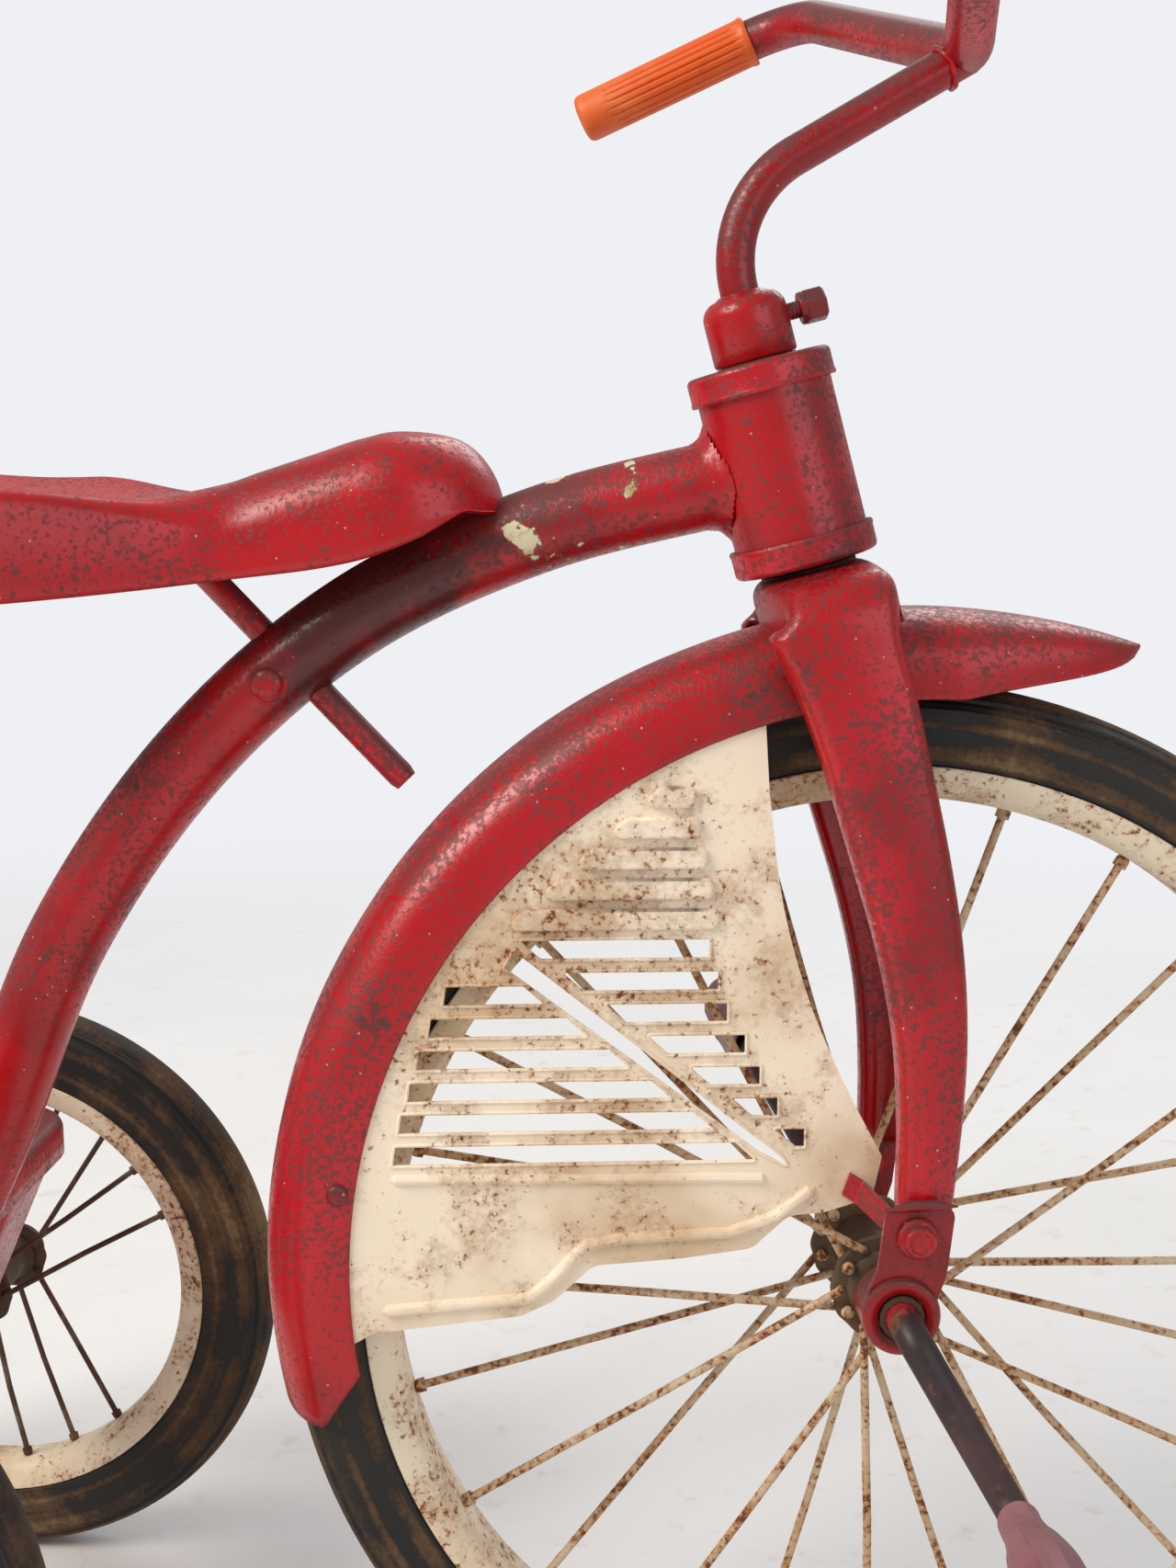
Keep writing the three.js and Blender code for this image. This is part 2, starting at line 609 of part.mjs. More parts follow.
function forkPieces() {
  const outer = forkArch(0).intersect(solid(plateXZ(bladeOutline(0, 0), -60, 60)));
  const inner = forkArch(FORK_WALL, FORK_WALL,
    10).intersect(solid(plateXZ(bladeOutline(FORK_WALL, 10), -60, 60)));
  const passage = forkArch(FORK_FLANGE, FORK_WALL + 5, 10);
  const bore = inUpright(solid(rod(STEERER_R + GAP, 200, 260, 20)));
  const bolts = sides.map(([, way]) => solid(rodY(BRACKET_BOLT_R + GAP, way > 0 ? 30 : -60,
    way > 0 ? 60 : -30, 12).translate(BRACKET_BOLT_AT[0], 0, BRACKET_BOLT_AT[1])));
  piece(upright, 'fork', outer.subtract(inner).subtract(passage).subtract(bore).subtract(bolts[0]).subtract(bolts[1]), redPaint);

  const steererTop = HEAD_TUBE_TO + HEAD_CAP_WALL + GAP + COLLAR_HEIGHT - 6;
  piece(steering, 'steerer_tube', ring(STEERER_R - STEERER_WALL, STEERER_R,
    FORK_CROWN_AT - FORK_WALL - 1, steererTop, 16), bareSteel);
  const collarFrom = HEAD_TUBE_TO + HEAD_CAP_WALL + GAP + RUN;
  const collarTo = collarFrom + COLLAR_HEIGHT;
  const bore2 = STEERER_R + GAP;
  const shoulder = steererTop + GAP;
  const collar = turned([[bore2, collarFrom], [COLLAR_R, collarFrom], [COLLAR_R, collarTo - 6],
    [COLLAR_R - 1.6, collarTo - 2], [COLLAR_R - 5, collarTo], [STEM_R + GAP, collarTo], [STEM_R + GAP,
    shoulder], [bore2, shoulder], [bore2, collarFrom]], 18);
  const boltAt = collarFrom + COLLAR_HEIGHT * 0.55;
  const boltHole = solid(rod(3 + GAP, 0, 40, 12).rotateY(Math.PI / 2).translate(0, 0, boltAt));
  piece(steering, 'stem_collar', solid(collar).subtract(boltHole), redPaint);
  const shank = solid(rod(3, STEERER_R + GAP, COLLAR_R + 8, 12).rotateY(Math.PI / 2));
  const boltHead = solid(turned([[0, COLLAR_R + 5], [5, COLLAR_R + 5], [5.6, COLLAR_R + 7],
    [5.6, COLLAR_R + 12], [4.6, COLLAR_R + 13.5], [0, COLLAR_R + 13.5]], 16).rotateY(Math.PI / 2));
  piece(steering, 'collar_set_bolt', shank.add(boltHead).translate([0, 0, boltAt]), redPaint);
  const raceFrom = FORK_CROWN_AT + GAP;
  const raceTo = HEAD_TUBE_FROM - GAP - HEAD_CAP_WALL - GAP;
  piece(steering, 'crown_race', ring(STEERER_R + GAP, HEAD_TUBE_R - 4, raceFrom, raceTo, 16), bareSteel);
}

const BRACKET_BOLT_R = 4;
const BRACKET_BOLT_AT = [6, FRONT_WHEEL_R + 40];
const BUSH_OUTER = AXLE_R + GAP + BUSH_WALL;
const BRACKET_OUT = FORK_HALF + 3;

function bracketPieces() {
  for (const [name, way] of sides) {
    const place = (shape) => (way > 0 ? shape : shape.mirror([0, 1, 0]));
    const strap = [[-9, 30], [-12, 8]];
    for (let k = 0; k <= 10; k++) {
      const a = deg(170 + (200 * k) / 10);
      strap.push([EYE_R * Math.cos(a), EYE_R * Math.sin(a)]);
    }
    strap.push([14, 10], [19, FORK_TOE_Z - FRONT_WHEEL_R + 12], [-1.5, FORK_TOE_Z - FRONT_WHEEL_R + 12]);
    const plate = solid(plateXZ(strap.map(([x, z]) => [x, z]), FORK_HALF + GAP, BRACKET_OUT));
    const boss = solid(ringY(BUSH_OUTER + GAP, EYE_R, FORK_HALF - 12, BRACKET_OUT + 3, 18));
    const bore = solid(rodY(BUSH_OUTER + GAP, 0, 80, 18));
    const bolt = solid(rodY(BRACKET_BOLT_R + GAP, 0, 80, 10).translate(BRACKET_BOLT_AT[0], 0,
      BRACKET_BOLT_AT[1] - FRONT_WHEEL_R));
    const bracket = plate.subtract(bore).subtract(bolt).add(boss).translate([0, 0, FRONT_WHEEL_R]);
    piece(upright, `${name}_crank_bracket`, place(bracket), redPaint);

    const bush = solid(ringY(AXLE_R + GAP, BUSH_OUTER, FORK_HALF - 12, BRACKET_OUT + 3.5,
      14)).translate([0, 0, FRONT_WHEEL_R]);
    piece(upright, `${name}_axle_bush`, place(bush), bareSteel);

    const headProfile = [[0, BRACKET_OUT + GAP], [6.5, BRACKET_OUT + GAP], [6.5, BRACKET_OUT + 2],
      [5, BRACKET_OUT + 2.2], [5, BRACKET_OUT + 5], [4, BRACKET_OUT + 6], [0, BRACKET_OUT + 6]];
    const shank = solid(rodY(BRACKET_BOLT_R, FENDER_HALF + 2, BRACKET_OUT + 1, 10));
    const screw = shank.add(solid(turnedY(headProfile, 12))).translate([BRACKET_BOLT_AT[0], 0,
      BRACKET_BOLT_AT[1]]);
    piece(upright, `${name}_bracket_bolt`, place(screw), redPaint);
  }
}

// ---- fender and skirts --------------------------------------------------------------
const FENDER_NOSE = 70; // degrees up from straight ahead, at the nose tip
const FENDER_TAIL = 194.5;

// One cross-section of the fender, lip to lip over the crown.
function fenderRow(angle, thickness) {
  const nose = Math.sqrt(THREE.MathUtils.clamp((angle - FENDER_NOSE + 1.5) / 22, 0, 1));
  const half = (FENDER_HALF - thickness) * nose;
  const depth = FENDER_DEPTH * nose;
  const crown = FENDER_R - thickness;
  const bend = 0.6;
  const profile = [[-half, crown - depth], [-half, crown - depth * bend],
    [-half * 0.9, crown - depth * 0.24], [-half * 0.6, crown - depth * 0.06], [0, crown]];
  const mirrored = profile.slice(0, 4).reverse().map(([y, r]) => [-y, r]);
  const c = Math.cos(deg(angle));
  const s = Math.sin(deg(angle));
  return [...profile, ...mirrored].map(([y, r]) => [FENDER_CENTRE[0] + r * c, y,
    FENDER_CENTRE[1] + r * s]);
}

const SKIRT_Y = FENDER_HALF - FENDER_WALL - GAP - SKIRT_WALL; // inner face of each skirt
const lipR = FENDER_R - FENDER_DEPTH;

// A point on the fender's arc, at a given radius and angle.
const onFender = (r, a) => [FENDER_CENTRE[0] + r * Math.cos(deg(a)),
  FENDER_CENTRE[1] + r * Math.sin(deg(a))];

// A slot with a slanted end, as a hole outline.
const slot = (x0, x1, z, height, slant) => [[x0, z - height / 2], [x1, z - height / 2],
  [x1, z + height / 2], [x0 - slant, z + height / 2]];

function skirtSlots() {
  const pitch = 10.7;
  const height = 5;
  const slope = Math.tan(deg(37.5));
  const holes = [];
  for (let k = 0; k < 7; k++) {
    const z = 321 - pitch * k;
    const left = -116 + (pitch * k) / slope;
    const right = [-61, -58, -55, -49, -44, -38, -29][k];
    holes.push(slot(left, right, z, height, height / slope));
  }
  for (let k = 0; k < 6; k++) {
    const z = 306 - pitch * k;
    const left = [-148, -153, -157, -160, -163, -165][k];
    const right = -122 + (pitch * k) / slope;
    holes.push([[left, z - height / 2], [right + height / slope, z - height / 2],
      [right, z + height / 2], [left + 1, z + height / 2]]);
  }
  holes.push([[-127, 315], [-36, 247], [-125, 320.5]]);
  return holes;
}

function skirtOutline() {
  const rim = [];
  const overlap = 9;
  for (let k = 0; k <= 10; k++) rim.push(onFender(lipR + overlap, 188 - (82 * k) / 10));
  const front = [[-42, 372], [-37, 335], [-28, 303], [-16, 275], [-3, 250]];
  const bottom = [[-6, 236], [-22, 231], [-34, 230], [-46, 219], [-69, 216], [-99, 214], [-112, 202],
    [-123, 197], [-172, 192]];
  return [...rim, ...front, ...bottom];
}

// The skirt hangs on the right-hand side only, on one rivet and on the bracket's bolt.
function skirtPieces() {
  const toRight = (shape) => shape.mirror([0, 1, 0]);
  const face = SKIRT_Y + SKIRT_WALL;
  const panel = solid(plateXZ(skirtOutline(), SKIRT_Y, face, skirtSlots()));
  const bead = (fromX, toX, z) => (
    solid(plateXZ(roundedRectangle(fromX, toX, z - 2, z + 2, 1.9, 2), SKIRT_Y + 0.5,
      face + 1.2)).intersect(panelTrim())
  );
  const bars = [0, 1, 2, 3, 4].map((k) => {
    const z = 371 - 10 * k;
    const left = -83 - 11 * k;
    const right = -67 + 2 * k;
    const outline = [[left - 3, z - 3], [right, z - 3], [right, z + 3], [left + 3, z + 3]];
    return solid(plateXZ(outline, SKIRT_Y + 0.5, face + 1));
  });
  const [boltX, boltZ] = BRACKET_BOLT_AT;
  const tabOutline = [[-12, 262], [-14, 232], [-6, 222], [boltX + 8, boltZ - 6], [boltX + 8, boltZ + 8]];
  const tab = solid(plateXZ(tabOutline, SKIRT_Y, face));
  const rivetBore = solid(rodY(SKIRT_RIVET_R + GAP, 0, 60, 10).translate(SKIRT_RIVET_AT[0], 0,
    SKIRT_RIVET_AT[1]));
  const boltBore = solid(rodY(BRACKET_BOLT_R + GAP, 0, 60, 12).translate(boltX, 0, boltZ));
  const body = panel.add(bead(-168, -40, 245)).add(bead(-168, -120, 199)).add(tab);
  const skirt = union([body.subtract(rivetBore).subtract(boltBore), ...bars]);
  piece(upright, 'right_skirt', toRight(skirt), creamPaint);

  const seat = FENDER_HALF + GAP;
  const shank = [[0, SKIRT_Y - 1], [SKIRT_RIVET_R, SKIRT_Y - 1], [SKIRT_RIVET_R, seat]];
  const head = [[3.6, seat], [3.2, seat + 1.2], [1.6, seat + 1.9], [0, seat + 2]];
  const rivet = solid(turnedY([...shank, ...head], 10)).translate([SKIRT_RIVET_AT[0], 0,
    SKIRT_RIVET_AT[1]]);
  piece(upright, 'skirt_rivet', toRight(rivet), redPaint);
}

function fenderPieces() {
  const angles = [FENDER_NOSE, 72, 75, 79, 84, 90, 100, 111, 122, 133, 144, 155, 166, 177, 188,
    FENDER_TAIL];
  const outer = angles.map((a) => fenderRow(a, 0));
  const inner = angles.map((a) => fenderRow(a, FENDER_WALL));
  const notchTip = onFender(FENDER_R, FENDER_TAIL - 6);
  const notch = solid(plateXY([[-9, 0], [0, 14], [9, 0]], -20, 20))
    .rotate([90, 0, 0])
    .rotate([0, 0, 90])
    .translate([notchTip[0], 0, notchTip[1] - 12]);
  const rivetBore = solid(rodY(SKIRT_RIVET_R + GAP, -40, -10, 10).translate(SKIRT_RIVET_AT[0], 0,
    SKIRT_RIVET_AT[1]));
  const fender = solid(sheet(outer, inner)).subtract(notch).subtract(rivetBore);
  piece(upright, 'front_fender', largest(fender), redPaint);
}

// The part of the panel that the fender's lip leaves open, where beads can stand out.
function panelTrim() {
  return solid(rodY(lipR - 2, 0, 60, 48).translate(FENDER_CENTRE[0], 0, FENDER_CENTRE[1]));
}

// ---- handlebar ----------------------------------------------------------------------
function handlebarPieces() {
  const mirrorY = ([x, y, z]) => [x, -y, z];
  const barLine = new BentLine([mirrorY(BAR_END), mirrorY(BAR_KNEE), BAR_CENTRE, BAR_KNEE, BAR_END],
    BAR_BEND_R, 4);
  const bar = solid(sweep(barLine, BAR_R, BAR_WALL, 10));
  piece(upright, 'handlebar', bar, redPaint);

  const rise = [Math.cos(deg(STEM_RISE)), Math.sin(deg(STEM_RISE))];
  const bottom = alongHead(HEAD_TUBE_FROM + 12);
  const lean = [-Math.sin(deg(HEAD_ANGLE)), Math.cos(deg(HEAD_ANGLE))];
  // corner where the head axis meets the line that runs forward into the bar
  const dx = BAR_CENTRE[0] - bottom[0];
  const dz = BAR_CENTRE[2] - bottom[2];
  const s = (dx * rise[1] - dz * rise[0]) / (lean[0] * rise[1] - lean[1] * rise[0]);
  const corner = [bottom[0] + s * lean[0], 0, bottom[2] + s * lean[1]];
  const stem = solid(sweep(new BentLine([bottom, corner, BAR_CENTRE], STEM_BEND_R, 5), STEM_R));
  const clearance = solid(sweep(barLine, BAR_R + GAP, 0, 10));
  piece(upright, 'handlebar_stem', largest(stem.subtract(clearance)), redPaint);

  for (const [name, way] of sides) {
    const end = new THREE.Vector3(BAR_END[0], way * BAR_END[1], BAR_END[2]);
    const knee = new THREE.Vector3(BAR_KNEE[0], way * BAR_KNEE[1], BAR_KNEE[2]);
    const out = end.clone().sub(knee).normalize();
    const cap = 5;
    const bore = BAR_R + GAP;
    const profile = [[bore, -GRIP_LENGTH], [GRIP_LIP_R, -GRIP_LENGTH], [GRIP_LIP_R, -GRIP_LENGTH + 4],
      [GRIP_R, -GRIP_LENGTH + 5], [GRIP_R, -3], [GRIP_R - 1, 0.5], [GRIP_R - 3.5, cap - 1], [0,
      cap], [0, GAP], [bore, GAP], [bore, -GRIP_LENGTH]];
    const grip = turned(profile, 14);
    const turn = new THREE.Quaternion().setFromUnitVectors(new THREE.Vector3(0, 0, 1), out);
    grip.applyQuaternion(turn);
    piece(upright, `${name}_grip`, grip.translate(end.x, end.y, end.z), orangePlastic);
  }
}

// ---- wheels -------------------------------------------------------------------------
// Rim section, as [radius, y]: two flanges with a shallow well between them.
function rimProfile(bead, half) {
  const wall = 1.8;
  const f = half - 2.5;
  return [
    [bead, -f - wall], [bead, -f], [bead - 9.5, -f + 5], [bead - 9.5, f - 5],
    [bead, f], [bead, f + wall], [bead - 9.5 - wall, f - 4], [bead - 9.5 - wall, -f + 4],
    [bead, -f - wall],
  ];
}

function tyreProfile(radius, bead, half) {
  const f = half - 2.5 - GAP;
  const section = [[bead + GAP, -f], [bead + GAP, -half + 1]];
  const mid = (radius + bead) / 2 + 1;
  const rise = radius - mid;
  for (let k = 1; k <= 7; k++) {
    const a = deg(-90 + 22.5 * k);
    section.push([mid + rise * Math.cos(a), half * Math.sin(a)]);
  }
  section.push([bead + GAP, half - 1], [bead + GAP, f]);
  const floor = bead - 9.5 + GAP;
  section.push([floor, f - 5], [floor, -f + 5], section[0]);
  return section;
}

// Spokes of one side, fused to their flange disc. Neighbours lean opposite ways.
function spokedFlange({ flangeR, flangeY, boreR, spokeR, count, rimR, rimY, thick, lean, turn, lobes }) {
  const parts = [solid(ringY(boreR, flangeR, flangeY - thick / 2, flangeY + thick / 2, lobes))];
  for (let i = 0; i < count; i++) {
    const way = i % 2 === 0 ? 1 : -1;
    const at = turn + (360 * i) / count;
    const root = new THREE.Vector3((flangeR - 3) * Math.cos(deg(at)), flangeY,
      (flangeR - 3) * Math.sin(deg(at)));
    const far = at + way * lean;
    const tip = new THREE.Vector3(rimR * Math.cos(deg(far)), rimY, rimR * Math.sin(deg(far)));
    const length = root.distanceTo(tip);
    const g = rod(spokeR, -1, length, 5);
    g.applyQuaternion(new THREE.Quaternion().setFromUnitVectors(new THREE.Vector3(0, 0, 1),
      tip.clone().sub(root).normalize()));
    parts.push(solid(g.translate(root.x, root.y, root.z)));
  }
  return union(parts);
}

function frontWheelPieces() {
  const wheel = new THREE.Group();
  wheel.position.z = FRONT_WHEEL_R;
  upright.add(wheel);
  piece(wheel, 'front_tyre', turnedY(tyreProfile(FRONT_WHEEL_R, FRONT_BEAD_R, FRONT_TYRE_HALF),
    FRONT_WHEEL_SIDES), tyreRubber);
  piece(wheel, 'front_rim', turnedY(rimProfile(FRONT_BEAD_R, FRONT_TYRE_HALF), FRONT_WHEEL_SIDES),
    creamPaint);
  const barrelHalf = FRONT_FLANGE_Y + 6;
  const seat = FRONT_FLANGE_Y - 1.6;
  const barrel = [[AXLE_R + GAP, -barrelHalf], [HUB_BARREL_R - 2, -barrelHalf],
    [HUB_BARREL_R - 2, -seat], [HUB_BARREL_R, -seat], [HUB_BARREL_R, seat], [HUB_BARREL_R - 2,
    seat], [HUB_BARREL_R - 2, barrelHalf], [AXLE_R + GAP, barrelHalf], [AXLE_R + GAP, -barrelHalf]];
  piece(wheel, 'front_hub', turnedY(barrel, 14), bareSteel);
  const inner = FRONT_BEAD_R - 9.5 - 1.8;
  for (const [name, way] of sides) {
    const flange = spokedFlange({
      flangeR: FRONT_FLANGE_R, flangeY: way * FRONT_FLANGE_Y, boreR: HUB_BARREL_R - 2 + GAP, spokeR: FRONT_SPOKE_R,
      count: FRONT_SPOKES_PER_SIDE, rimR: (inner - GAP - 0.6) * Math.cos(Math.PI / FRONT_WHEEL_SIDES), rimY: way * 3, thick: 2.4, lean: 30, turn: way > 0 ? 15 : 0, lobes: 16,
    });
    piece(wheel, `${name}_front_spokes`, flange, creamPaint);
  }
  const [cs, sn] = [Math.sin(deg(CRANK_ANGLE)), Math.cos(deg(CRANK_ANGLE))];
  const elbow = BRACKET_OUT + 3.5 + RUN + CRANK_BEND_R;
  const pinAt = elbow + CRANK_SPLAY;
  const pinTip = pinAt + CRANK_BEND_R + PEDAL_LENGTH;
  const armEnd = (way) => [-way * CRANK_THROW * cs, way * pinAt, way * CRANK_THROW * sn];
  const pin = (way) => [armEnd(way)[0], way * pinTip, armEnd(way)[2]];
  const crankLine = new BentLine([pin(1), armEnd(1), [0, elbow, 0], [0, -elbow, 0], armEnd(-1),
    pin(-1)], CRANK_BEND_R, 4);
  piece(wheel, 'crank_axle', sweep(crankLine, AXLE_R, 0, 10), bareSteel);

  for (const [name, way] of sides) {
    const from = pinAt + CRANK_BEND_R - 1;
    const bore = AXLE_R + GAP + 0.4;
    const outline = [[bore, from], [8, from], [10.5, from + 10], [13, from + 26], [13.5, from + 44],
      [12.5, from + 62], [10, from + PEDAL_LENGTH - 10], [bore, from + PEDAL_LENGTH - 10], [bore, from]];
    let block = solid(turnedY(outline, 16)).scale([1.75, 1, 1]);
    block = block.subtract(solid(rodY(bore, 0, 300, 16)));
    const place = (shape) => (way > 0 ? shape : shape.mirror([0, 1, 0])).translate([armEnd(way)[0], 0,
      armEnd(way)[2]]);
    piece(wheel, `${name}_pedal`, place(block), pedalRubber);
    const capFrom = from + PEDAL_LENGTH - 10 + GAP;
    const cap = solid(turnedY([[0, pinTip + GAP], [0, pinTip + 3.5], [5, pinTip + 3], [8, pinTip],
      [8, capFrom], [AXLE_R + GAP, capFrom], [AXLE_R + GAP, pinTip + GAP], [0, pinTip + GAP]], 12));
    piece(wheel, `${name}_pedal_cap`, place(cap), bareSteel);
  }
}

function rearWheelPieces() {
  for (const [name, way] of sides) {
    const wheel = new THREE.Group();
    wheel.position.set(REAR_AXLE_X, way * REAR_HALF_TRACK, REAR_WHEEL_R);
    root.add(wheel);
    piece(wheel, `${name}_rear_tyre`, turnedY(tyreProfile(REAR_WHEEL_R, REAR_BEAD_R, REAR_TYRE_HALF),
      REAR_WHEEL_SIDES), tyreRubber);
    piece(wheel, `${name}_rear_rim`, turnedY(rimProfile(REAR_BEAD_R, REAR_TYRE_HALF), REAR_WHEEL_SIDES),
      creamPaint);
    const seat = REAR_FLANGE_Y - 1.3;
    const half = REAR_FLANGE_Y + 5;
    const b = REAR_AXLE_R + GAP;
    const barrel = [[b, -half], [9, -half], [9, -seat], [10.5, -seat], [10.5, seat], [9, seat],
      [9, half], [b, half], [b, -half]];
    piece(wheel, `${name}_rear_hub`, turnedY(barrel, 12), bareSteel);
    const inner = REAR_BEAD_R - 9.5 - 1.8;
    for (const [face, out] of [['outer', way], ['inner', -way]]) {
      const flange = spokedFlange({
        flangeR: REAR_FLANGE_R, flangeY: out * REAR_FLANGE_Y, boreR: 9 + GAP, spokeR: REAR_SPOKE_R,
        count: REAR_SPOKES_PER_SIDE, rimR: (inner - GAP - 0.6) * Math.cos(Math.PI / REAR_WHEEL_SIDES), rimY: out * 2.5, thick: 2, lean: 22, turn: out > 0 ? 30 : 0, lobes: 14,
      });
      piece(wheel, `${name}_rear_${face}_spokes`, flange, creamPaint);
    }
    const capFrom = half + RUN;
    const cap = turnedY([[b, capFrom], [11, capFrom], [11, capFrom + 3], [8, capFrom + 8],
      [0, capFrom + 10], [0, capFrom + 7], [b, capFrom + 6.5], [b, capFrom]], 12);
    piece(frame, `${name}_axle_cap`, (way > 0 ? solid(cap) : solid(cap).mirror([0, 1,
      0])).translate([REAR_AXLE_X, way * REAR_HALF_TRACK, REAR_WHEEL_R]), bareSteel);
  }
}

headPieces();
backbonePieces();
rearFramePieces();
seatPieces();
forkPieces();
bracketPieces();
fenderPieces();
skirtPieces();
handlebarPieces();
frontWheelPieces();
rearWheelPieces();

// Stand the tricycle with the middle of its footprint over the origin.
root.updateMatrixWorld(true);
const box = new THREE.Box3().setFromObject(root, true);
const centre = box.getCenter(new THREE.Vector3());
root.position.set(-centre.x, -centre.y, -box.min.z);

export default root;
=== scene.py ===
import json
import math
import random

import bmesh
import bpy
import numpy as np
from mathutils import Matrix, Vector, noise


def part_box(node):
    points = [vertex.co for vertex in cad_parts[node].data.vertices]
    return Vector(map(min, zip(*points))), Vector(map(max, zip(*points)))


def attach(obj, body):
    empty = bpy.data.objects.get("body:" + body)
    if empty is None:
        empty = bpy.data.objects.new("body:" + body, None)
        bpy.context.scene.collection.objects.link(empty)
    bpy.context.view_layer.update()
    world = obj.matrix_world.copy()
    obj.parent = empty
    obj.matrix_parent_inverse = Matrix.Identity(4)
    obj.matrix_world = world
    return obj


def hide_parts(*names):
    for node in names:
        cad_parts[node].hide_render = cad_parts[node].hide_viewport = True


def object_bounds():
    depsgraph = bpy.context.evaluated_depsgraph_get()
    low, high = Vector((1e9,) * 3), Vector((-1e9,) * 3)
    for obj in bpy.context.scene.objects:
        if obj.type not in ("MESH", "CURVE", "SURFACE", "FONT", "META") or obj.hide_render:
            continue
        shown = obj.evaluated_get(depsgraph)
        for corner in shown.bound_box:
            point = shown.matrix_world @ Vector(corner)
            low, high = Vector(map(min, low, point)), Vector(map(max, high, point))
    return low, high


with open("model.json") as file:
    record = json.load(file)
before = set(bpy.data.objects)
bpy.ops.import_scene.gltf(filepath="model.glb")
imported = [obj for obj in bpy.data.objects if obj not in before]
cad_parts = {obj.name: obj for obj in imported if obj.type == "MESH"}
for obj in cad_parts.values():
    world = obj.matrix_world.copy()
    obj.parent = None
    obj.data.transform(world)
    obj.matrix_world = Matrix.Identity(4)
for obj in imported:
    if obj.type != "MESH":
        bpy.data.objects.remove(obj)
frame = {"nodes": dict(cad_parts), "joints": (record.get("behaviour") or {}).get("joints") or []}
cad_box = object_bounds()
chance = random.Random(7)

# ---- the tricycle's sizes, in millimetres, with the front hub at x = 0 steered straight ----
FRONT_R = 203.2
FRONT_BEAD_R = 176
FRONT_TYRE_HALF = 17
FRONT_FLANGE_R = 18.5
FRONT_FLANGE_Y = 22
REAR_R = 124
REAR_BEAD_R = 95
REAR_TYRE_HALF = 13
REAR_AXLE_X = -372
REAR_HALF_TRACK = 140
REAR_FLANGE_Y = 22
HEAD_ANGLE = 15
HEAD_OFFSET = 38
REST_STEER = 8.5
HEAD_TUBE_R = 22.2
HEAD_TUBE_FROM = 252
HEAD_TUBE_TO = 316
COLLAR_FROM = HEAD_TUBE_TO + 2.8
COLLAR_TO = COLLAR_FROM + 22
COLLAR_R = 13.8
CROWN_AT = 243.5
FORK_HALF = 44
FORK_FLANGE = 13.5
FENDER_CENTRE = (11, 211.5)
FENDER_R = 219.5
FENDER_HALF = 27.5
FENDER_DEPTH = 29
SKIRT_Y = 25
BACKBONE_R = 14.3
POST_R = 4.75
POST_ANGLE = 46
CLAMP_AT = (-201, 410)
DECK_TOP_Z = 213
DECK_FRONT_X = -321
DECK_BACK_X = -443
DECK_HALF = 112
LEG_Y = 96
LEG_DEPTH = 66
AXLE_R = 5.5
CRANK_THROW = 62
CRANK_ANGLE = 30

# ---- places -------------------------------------------------------------------------------
MM = 0.001  # one millimetre, in the frame's metres
joints = {j["name"]: j for j in frame["joints"]}
rear_left = Vector(joints["left_rear_wheel_spin"]["pos_m"])
rear_right = Vector(joints["right_rear_wheel_spin"]["pos_m"])
steer_at = Vector(joints["steering_turn"]["pos_m"])
steer_axis = Vector(joints["steering_turn"]["axis"])
ground_zero = Vector((rear_left.x - REAR_AXLE_X * MM, (rear_left.y + rear_right.y) / 2, 0))

STRAIGHT = Matrix.Translation(ground_zero) @ Matrix.Scale(MM, 4)
turn = Matrix.Translation(steer_at) @ Matrix.Rotation(math.radians(REST_STEER), 4, steer_axis)
STEERED = turn @ Matrix.Translation(-steer_at) @ STRAIGHT
LEAN = Matrix.Translation((HEAD_OFFSET, 0, FRONT_R)) @ Matrix.Rotation(math.radians(-HEAD_ANGLE), 4, "Y")
HEAD = STRAIGHT @ LEAN
STEERED_HEAD = STEERED @ LEAN
FRONT_HUB = STEERED @ Matrix.Translation((0, 0, FRONT_R))
TURN_TO_Y = Matrix.Rotation(math.radians(-90), 4, "X")


def rear_hub(way):
    return STRAIGHT @ Matrix.Translation((REAR_AXLE_X, way * REAR_HALF_TRACK, REAR_R))


# ---- colours and nodes --------------------------------------------------------------------
def linear(colour):
    """An sRGB hex colour, such as "#b51c28", as linear RGBA."""
    parts = [int(colour[i : i + 2], 16) / 255 for i in (1, 3, 5)]
    return [c / 12.92 if c <= 0.04045 else ((c + 0.055) / 1.055) ** 2.4 for c in parts] + [1.0]


def add(tree, kind, inputs=None, **settings):
    """Adds a node, sets its properties, and sets or links its inputs."""
    made = tree.nodes.new(kind)
    for name, value in settings.items():
        setattr(made, name, value)
    for name, value in (inputs or {}).items():
        if isinstance(value, bpy.types.NodeSocket):
            tree.links.new(value, made.inputs[name])
        else:
            made.inputs[name].default_value = value
    return made


NOISE_PER_MM = 500  # a noise node's Scale that gives blotches about a millimetre across
CELLS_PER_MM = 1000  # a Voronoi node's Scale that gives cells a millimetre across


